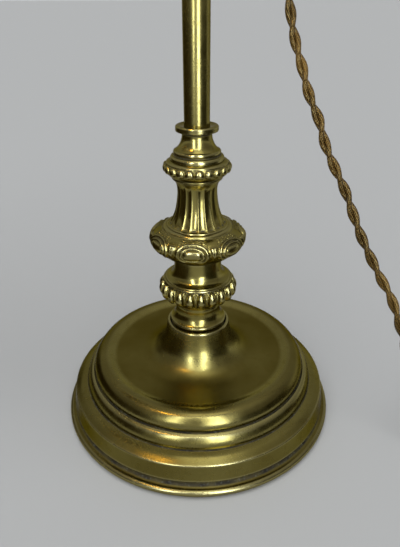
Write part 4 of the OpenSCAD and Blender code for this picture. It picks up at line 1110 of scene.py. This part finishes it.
    def neck(self, panels):
        """A flared neck cut into hollow panels that meet in edges."""
        line = self.bored(
            Z_NECK, Z_UPPER,
            (4, (15.6, Z_NECK)),
            (0.3, (15.4, 112.4)),
            (0.35, (14.4, 113.1), (13.4, 114.3), (12.4, 116.2), (11.4, 118.8), (10.6, 122.0),
             (10.1, 125.5), (9.85, 128.5), (9.95, 131.4), (10.35, 133.2), (10.9, 134.5), (11.5, Z_UPPER)),
        )
        sides = panels * 20
        z = line[:, 1:]
        share = repeated(angles(sides), panels, FRONT + math.radians(2) + math.pi / panels) * panels / np.pi
        reach = soft(z, 112.3, 113.6) * (1 - soft(z, 131.5, 135.0)) * (line[:, :1] > 9)
        hollow = -0.034 * line[:, :1] * (1 - share**2) * reach
        self.cast("fluted_sleeve", line, sides, hollow, "fluted_neck")

    def upper_collar(self, beads):
        """A small moulding under a ring of round beads set close in a swelling."""
        line = self.bored(
            Z_UPPER, Z_CAP,
            (4, (11.6, Z_UPPER)),
            (0.3, (12.3, 136.0), (12.6, 136.6), (12.5, 137.1)),
            (0.25, (13.6, 137.8), (14.7, 139.0), (15.3, 140.4), (15.45, 141.8), (15.3, 143.0), (15.0, 143.6)),
            (0.25, (15.0, 144.0), (14.4, 144.5), (13.1, Z_CAP)),
        )
        sides = beads * 20
        start = FRONT + math.radians(4)
        bead = round_beads(
            line, (15.4, 141.5), beads, sides, start, height=1.25, half_width=2.2, half_height=2.0, power=0.5,
        )
        self.cast("beaded_collar_high", line, sides, bead, "upper_collar")

    def cap(self):
        """Two steps, a hollow throat and a flat flange round the stem."""
        line = outline(
            (TIE_HOLE_R, Z_CAP),
            (3, (12.95, Z_CAP)),
            (0.3, (12.95, 145.8), (12.75, 146.7), (12.2, 147.2)),
            (0.3, (11.1, 147.5)),
            (0.25, (11.0, 147.9)),
            (0.25, (11.35, 148.4), (11.4, 149.0), (11.1, 149.6)),
            (0.25, (10.4, 149.95)),
            (0.35, (9.4, 150.8), (8.55, 151.9), (7.85, 153.3), (7.35, 154.8), (7.15, 156.4), (7.25, 157.6)),
            (0.3, (8.9, 158.0)),
            (0.3, (9.85, 158.25)),
            (0.3, (10.15, 158.6)),
            (0.3, (10.15, 160.4)),
            (0.3, (9.75, 160.9)),
            (0.4, (9.2, Z_FLANGE), (7.4, 160.9), (6.05, 160.8)),
            (4, (6.05, Z_STEM)),
            (3, (TIE_HOLE_R, Z_STEM)),
            (3, (TIE_HOLE_R, Z_CAP)),
        )
        self.cast("stepped_cap", line, 144, 0.0, "stem_cap")


class LAMP_OT_stem(LampOperator, bpy.types.Operator):
    """Makes the stem, the head on top of it and the thumbscrew that locks the arm"""

    bl_idname = "lamp.stem"
    bl_label = "Stem and head"

    def execute(self, context):
        self.stem()
        self.head()
        self.thumbscrew()
        dress("fibre", "swing_washer")
        return {"FINISHED"}

    def stem(self):
        """A plain drawn tube."""
        line = outline(
            (4.8, Z_STEM), (1, (6.0, Z_STEM)), (4, (6.0, Z_STEM_TOP)), (1, (4.8, Z_STEM_TOP)),
            (20, (4.8, Z_STEM)),
        )
        piece("stem_tube", [skin(line, 96)], "drawn_brass", "stand", "stem")

    def head(self):
        """A turned vase with beads round its shoulder, and two bosses: one for the flex and one for the
        thumbscrew."""
        line = outline(
            (6.05, Z_HEAD),
            (2, (8.3, Z_HEAD)),
            (0.3, (9.0, 334.0), (9.0, 335.4), (8.5, 336.3)),
            (0.4, (7.8, 337.4)),
            (0.5, (7.9, 340.5), (9.3, 345.5), (12.0, 350.6), (13.3, 355.6), (12.7, 360.6), (10.9, 364.6)),
            (0.4, (10.6, 365.4)),
            (0.4, (9.7, 366.2)),
            (0.6, (9.5, 370), (9.5, 374.6)),
            (0.4, (10.2, 375.6), (10.9, 376.6)),
            (0.4, (11.0, 377.4), (11.0, 378.8), (10.4, Z_HEAD_TOP)),
            (2, (5.6, Z_HEAD_TOP)),
            (6, (5.6, 348)),
            (1, (6.05, 347.5)),
            (4, (6.05, Z_HEAD)),
        )
        beads = 30
        sides = beads * 12
        bead = round_beads(
            line, (10.6, 365.2), beads, sides, 0.0, height=0.75, half_width=1.0, half_height=1.0, power=0.55,
        )
        flex_boss = outline(
            (0, 4), (1, (6.3, 4)), (0.8, (6.3, 14.2)), (0.3, (6.1, 14.8), (5.4, 15)), (1, (0, 15)),
            closed=False,
        )
        lock_boss = outline(
            (0, 4), (1, (4.5, 4)), (0.8, (4.5, 11.3)), (0.3, (4.3, 11.8), (3.7, 12)), (1, (0, 12)),
            closed=False,
        )
        shells = [
            skin(line, sides, bead),
            skin(flex_boss, 48, at=(0, 0, Z_BUSH), way=FLEX_WAY, closed=False),
            skin(lock_boss, 48, at=(0, 0, Z_LOCK), way=FORWARD, closed=False),
        ]
        piece("turned_head", shells, "cast_brass", "stand", "head")

    def thumbscrew(self):
        """A shank, a small hub and a flat rounded leaf."""
        shank = outline(
            (0, 4.9), (1, (2.0, 4.9)), (2, (2.0, 12.2)), (0.5, (3.4, 12.2)),
            (0.4, (3.5, 13.6), (2.7, 15.4)), (0.5, (2.2, 17.0)), (1, (0, 17.0)), closed=False,
        )
        leaf = blob((1.2, 7.0, 7.0), power=0.8, rows=32, cols=48) + np.array([0, -22.2, Z_LOCK])
        shells = [skin(shank, 40, at=(0, 0, Z_LOCK), way=FORWARD, closed=False), shell(leaf, False)]
        piece("swing_thumbscrew", shells, "drawn_brass", "swing_lock", "lock_screw")


class LAMP_OT_arm(LampOperator, bpy.types.Operator):
    """Makes the swan neck, its pivot and the knuckle's wing nut, and finishes the knuckle"""

    bl_idname = "lamp.arm"
    bl_label = "Arm"

    def execute(self, context):
        self.pivot()
        self.swan_neck()
        self.wing_nut()
        dress("fibre", "arm_wire")
        dress("holder_brass", "knuckle_fork")
        dress("drawn_brass", "knuckle_pin")
        return {"FINISHED"}

    def pivot(self):
        """A hollow spigot under a reeded collar."""
        line = outline(
            (3.4, 362.6),
            (3, (5.5, 362.6)),
            (4, (5.5, Z_ARM_COLLAR)),
            (1, (9.8, Z_ARM_COLLAR)),
            (0.3, (10.15, 381.6), (10.15, 383.2), (9.6, 384.0)),
            (0.3, (8.4, 384.4)),
            (0.3, (7.6, 385.4), (6.7, 387.0)),
            (0.5, (5.05, 387.0)),
            (2, (5.05, Z_ARM)),
            (1, (3.4, Z_ARM)),
            (6, (3.4, 362.6)),
        )
        reeds = 40
        sides = reeds * 10
        reed = knurled(line, (10.15, 382.4), reeds, sides, depth=0.3, half_height=1.5, power=1.0)
        piece("pivot_collar", [skin(line, sides, reed)], "cast_brass", "swing_arm", "arm_pivot")

    def swan_neck(self):
        """A tube carried up, over a half circle and down, with its cross direction always along Y."""
        turn = np.linspace(0, np.pi, 121)
        up = np.stack([np.zeros(9), np.linspace(Z_ARM, Z_BEND, 10)[:-1]], axis=1)
        over = np.stack([-BEND_R + BEND_R * np.cos(turn), Z_BEND + BEND_R * np.sin(turn)], axis=1)
        down = np.stack([np.full(8, HOLDER_X), np.linspace(Z_BEND, Z_ARM_END, 9)[1:]], axis=1)
        path = np.concatenate([up, over, down])
        tangent = unit(np.gradient(path, axis=0))
        out = np.stack([tangent[:, 1], -tangent[:, 0]], axis=1)
        a = angles(48)
        grid = np.stack([
            path[:, :1] + ARM_R * out[:, :1] * np.cos(a), ARM_R * np.sin(a) + 0 * path[:, :1],
            path[:, 1:] + ARM_R * out[:, 1:] * np.cos(a),
        ], axis=2)
        piece("swan_tube", [shell(grid, False)], "drawn_brass", "swing_arm", "swan_neck")

    def wing_nut(self):
        """A hub with two rounded wings, on the knuckle's pin."""
        hub = outline(
            (2.05, 6.6), (1, (3.8, 6.6)), (0.4, (4.0, 7.2), (3.9, 9.4), (3.2, 12.5)), (0.5, (2.05, 12.6)),
            (3, (2.05, 6.6)),
        )
        centre = np.array([HOLDER_X, 0, Z_KNUCKLE])
        wing = blob((1.1, 1.8, 3.4), power=0.8, rows=20, cols=32) + centre
        shells = [skin(hub, 48, at=centre, way=FORWARD)]
        shells += [shell(wing + np.array([0, -10.9, rise]), False) for rise in (-6.0, 6.0)]
        piece("tilt_wing_nut", shells, "drawn_brass", "tilt_knob", "knuckle_knob")


class LAMP_OT_holder(LampOperator, bpy.types.Operator):
    """Makes the lampholder, its push bar and the gallery that holds the glass"""

    bl_idname = "lamp.holder"
    bl_label = "Lampholder"

    def execute(self, context):
        self.cap()
        self.body()
        self.push_bar()
        self.gallery()
        self.screws()
        dress("holder_brass", "knuckle_tongue")
        dress("porcelain", "holder_core")
        dress("drawn_brass", "holder_plungers")
        return {"FINISHED"}

    def cap(self):
        """A domed cap with a ring on its shoulder and a reeded skirt."""
        line = outline(
            (5.0, Z_HOLDER),
            (2, (7.6, Z_HOLDER)),
            (0.3, (8.4, 358.4), (8.4, 357.0), (7.9, 356.2)),
            (0.4, (7.9, 353.2)),
            (0.4, (8.4, 352.1)),
            (0.5, (11.2, 351.0), (13.6, 348.8), (15.0, 345.6), (15.5, 342.6)),
            (0.3, (15.6, 341.6)),
            (0.3, (15.1, 341.2)),
            (0.6, (15.1, 331.4)),
            (0.3, (15.6, 330.9)),
            (0.3, (15.6, 330.1)),
            (1, (14.2, 330.1)),
            (4, (14.2, 339.1)),
            (2, (13.0, 343), (7.4, 349.6)),
            (2, (5.0, 349.6)),
            (4, (5.0, Z_HOLDER)),
        )
        reeds = 60
        sides = reeds * 8
        v = along(line, (15.1, 336.4))
        reed = 0.3 * np.cos(reeds * angles(sides)) * dome((v / 4.6) ** 2, 0.3)
        piece("holder_dome", [skin(line, sides, reed, HOLDER)], "holder_brass", "shade_head", "holder_cap")

    def body(self):
        """The sleeve under the cap, with its flange."""
        line = outline(
            (12.0, 338.9),
            (1, (14.0, 338.9)),
            (1, (14.0, 330.1)),
            (0.5, (15.5, 330.1)),
            (0.4, (15.6, 329.1), (15.5, Z_GALLERY)),
            (0.5, (14.0, Z_GALLERY)),
            (1, (14.0, 299.0)),
            (0.4, (13.7, 298.2), (13.0, 298.1)),
            (1, (11.5, 298.1)),
            (3, (11.5, 326.0)),
            (1, (12.0, 326.1)),
            (3, (12.0, 338.9)),
        )
        piece("holder_sleeve", [skin(line, 96, at=HOLDER)], "drawn_brass", "shade_head", "holder_body")
        ring = outline(
            (14.2, 326.6), (1, (18.1, 326.6)), (0.4, (18.5, 326.1), (18.5, 321.2), (18.1, 320.6)),
            (1, (14.2, 320.6)), (2, (14.2, 326.6)),
        )
        grooves = 48
        sides = grooves * 8
        knurl = knurled(ring, (18.5, 323.6), grooves, sides, depth=0.3, half_height=2.3, power=0.4)
        piece("gallery_ring", [skin(ring, sides, knurl, HOLDER)], "drawn_brass", "shade_head", "shade_ring")

    def push_bar(self):
        """A round bar with a domed button at each end."""
        half = 23.1
        button = [(0, -half), (2.2, -half + 0.15), (3.3, -half + 0.9), (3.45, -half + 1.8)]
        line = outline(
            button[0], (0.4, *button[1:]), (0.4, (3.3, -half + 2.9)), (0.5, (2.25, -half + 3)),
            (2, (2.25, half - 3)), (0.5, (3.3, half - 2.9)), (0.4, (3.45, half - 1.8)),
            (0.4, *[(r, -z) for r, z in button[-2::-1]]), closed=False,
        )
        bar = skin(line, 40, at=(HOLDER_X, -SWITCH_TRAVEL / 2, Z_SWITCH), way=BACK, closed=False)
        piece("push_bar", [bar], "drawn_brass", "switch", "switch_bar")

    def gallery(self):
        """A shallow cup for the glass, with a row of beads round its lip."""
        line = outline(
            (14.2, 326.6),
            (2, (14.2, Z_GALLERY)),
            (1, (27.6, Z_GALLERY)),
            (0.4, (29.4, 327.6), (30.2, 326.4)),
            (0.5, (30.2, 317.6)),
            (0.3, (30.0, 316.6), (30.0, 315.2), (30.2, 314.1)),
            (0.5, (29.1, 314.1)),
            (2, (29.1, 326.6)),
            (4, (14.2, 326.6)),
        )
        beads = 60
        sides = beads * 10
        bead = round_beads(
            line, (30.0, 315.9), beads, sides, 0.0, height=0.8, half_width=1.45, half_height=1.4, power=0.55,
        )
        cup = skin(line, sides, bead, HOLDER)
        piece("beaded_gallery", [cup], "holder_brass", "shade_head", "shade_gallery")

    def screws(self):
        """Three screws with knurled knobs."""
        line = outline(
            (0, 27.1), (1, (2.0, 27.1)), (1, (2.0, 32.1)), (0.5, (3.6, 32.1)),
            (0.4, (4.0, 32.6), (4.0, 35.8), (3.4, 36.5)), (0.5, (0, 36.6)), closed=False,
        )
        grooves = 20
        sides = grooves * 6
        knurl = knurled(line, (4.0, 34.2), grooves, sides, depth=0.25, half_height=1.9, power=0.4)
        shells = [
            skin(line, sides, knurl, (HOLDER_X, 0, Z_SCREWS), (math.cos(a), math.sin(a), 0), False)
            for a in 2 * np.pi * np.arange(3) / 3
        ]
        piece("glass_screws", shells, "drawn_brass", "shade_head", "gallery_screws")


class LAMP_OT_shade(LampOperator, bpy.types.Operator):
    """Makes the tulip glass and the bulb"""

    bl_idname = "lamp.shade"
    bl_label = "Shade and bulb"

    def execute(self, context):
        self.glass(context.scene.lamp_sizes.petals)
        self.bulb()
        return {"FINISHED"}

    def glass(self, petals):
        """A round neck, a body that swells as a quarter sine and a flare that grows as a square, waved in
        and out and up and down by the petals, with fine ribs that fade in below the neck. The inner wall
        lies a glass thickness inside."""
        neck_r, bell_r, rim_r, height, neck_l, wall = 27.0, 43.0, 54.0, 94.0, 12.0, 2.8
        wave_out, wave_down = 3.2, 4.5
        s = np.concatenate([np.linspace(-neck_l, 0, 9)[:-1], np.linspace(0, height, 97)])[:, None]
        a = angles(petals * 60)
        t = np.clip(s / height, 0, 1)
        swell = np.sin(np.pi / 2 * np.clip(t / 0.5, 0, 1))
        flare = np.clip((t - 0.5) / 0.5, 0, 1) ** 2
        wave = np.cos(petals * a)
        ribs = 0.3 * np.cos(petals * 6 * a) * soft(t, 0.08, 0.5)
        lip = 1.0 * soft(-s, neck_l - 2.2, neck_l - 1.0) + 0 * a
        r = neck_r + (bell_r - neck_r) * swell + (rim_r - bell_r) * flare + wave_out * t**2 * wave
        z = Z_SHADE - s - wave_down * t**3 * wave
        edge = soft(t, 0.97, 1.0) * 0.9
        walls = np.concatenate([r + ribs + lip - edge, r[-1:] - wall / 2, (r - wall + edge)[::-1]])
        heights = np.concatenate([z, z[-1:] - 0.5, z[::-1]])
        grid = np.stack([walls * np.cos(a), walls * np.sin(a), heights], axis=2) + np.array(HOLDER)
        piece("tulip_glass", [shell(grid)], "etched_glass", "shade_head", "tulip_shade")

    def bulb(self):
        """A round envelope on a short neck, and its brass cap with two pins."""
        line = outline(
            (0, 295.05), (2, (10.6, 295.05)),
            (0.7, (10.7, 292.6), (12.6, 289.9), (17.4, 285.6), (21.0, 279.4), (22.5, 271.2),
             (20.8, 262.6), (15.9, 255.3), (8.6, 250.4), (0, 248.7)), closed=False,
        )
        globe = skin(line, 96, at=HOLDER, closed=False)
        piece("bulb_globe", [globe], "pearl_glass", "shade_head", "bulb_glass")
        sleeve = outline(
            (0, 321.0), (2, (10.4, 321.0)), (0.4, (11.0, 320.4)), (2, (11.0, 295.1)), (2, (0, 295.1)),
            closed=False,
        )
        pin = outline(
            (0, -13.4), (0.4, (0.8, -13.3), (1.0, -12.8)), (4, (1.0, 12.8)),
            (0.4, (0.8, 13.3), (0, 13.4)), closed=False,
        )
        shells = [
            skin(sleeve, 72, at=HOLDER, closed=False),
            skin(pin, 20, at=(HOLDER_X, 0, Z_BULB_PINS), way=BACK, closed=False),
        ]
        piece("bulb_sleeve", shells, "drawn_brass", "shade_head", "bulb_cap")


class LAMP_PT_panel(bpy.types.Panel):
    """Lists the lamp's sizes, colours and pieces"""

    bl_idname = "LAMP_PT_panel"
    bl_label = "Tulip table lamp"
    bl_space_type = "VIEW_3D"
    bl_region_type = "UI"
    bl_category = "Lamp"

    def draw(self, context):
        for group in (context.scene.lamp_sizes, context.scene.lamp_colours):
            for name in group.__annotations__:
                self.layout.prop(group, name)
        for operator in OPERATORS:
            self.layout.operator(operator.bl_idname)


OPERATORS = (
    LAMP_OT_stage, LAMP_OT_flex, LAMP_OT_base, LAMP_OT_column, LAMP_OT_stem, LAMP_OT_arm, LAMP_OT_holder,
    LAMP_OT_shade,
)
CLASSES = (LampSizes, LampColours) + OPERATORS + (LAMP_PT_panel,)


def register():
    for cls in CLASSES:
        bpy.utils.register_class(cls)
    bpy.types.Scene.lamp_sizes = bpy.props.PointerProperty(type=LampSizes)
    bpy.types.Scene.lamp_colours = bpy.props.PointerProperty(type=LampColours)


def unregister():
    del bpy.types.Scene.lamp_colours
    del bpy.types.Scene.lamp_sizes
    for cls in reversed(CLASSES):
        bpy.utils.unregister_class(cls)


def main():
    register()
    bpy.ops.lamp.stage()
    bpy.ops.lamp.flex()
    bpy.ops.lamp.base()
    bpy.ops.lamp.column()
    bpy.ops.lamp.stem()
    bpy.ops.lamp.arm()
    bpy.ops.lamp.holder()
    bpy.ops.lamp.shade()


if __name__ == "__main__":
    main()
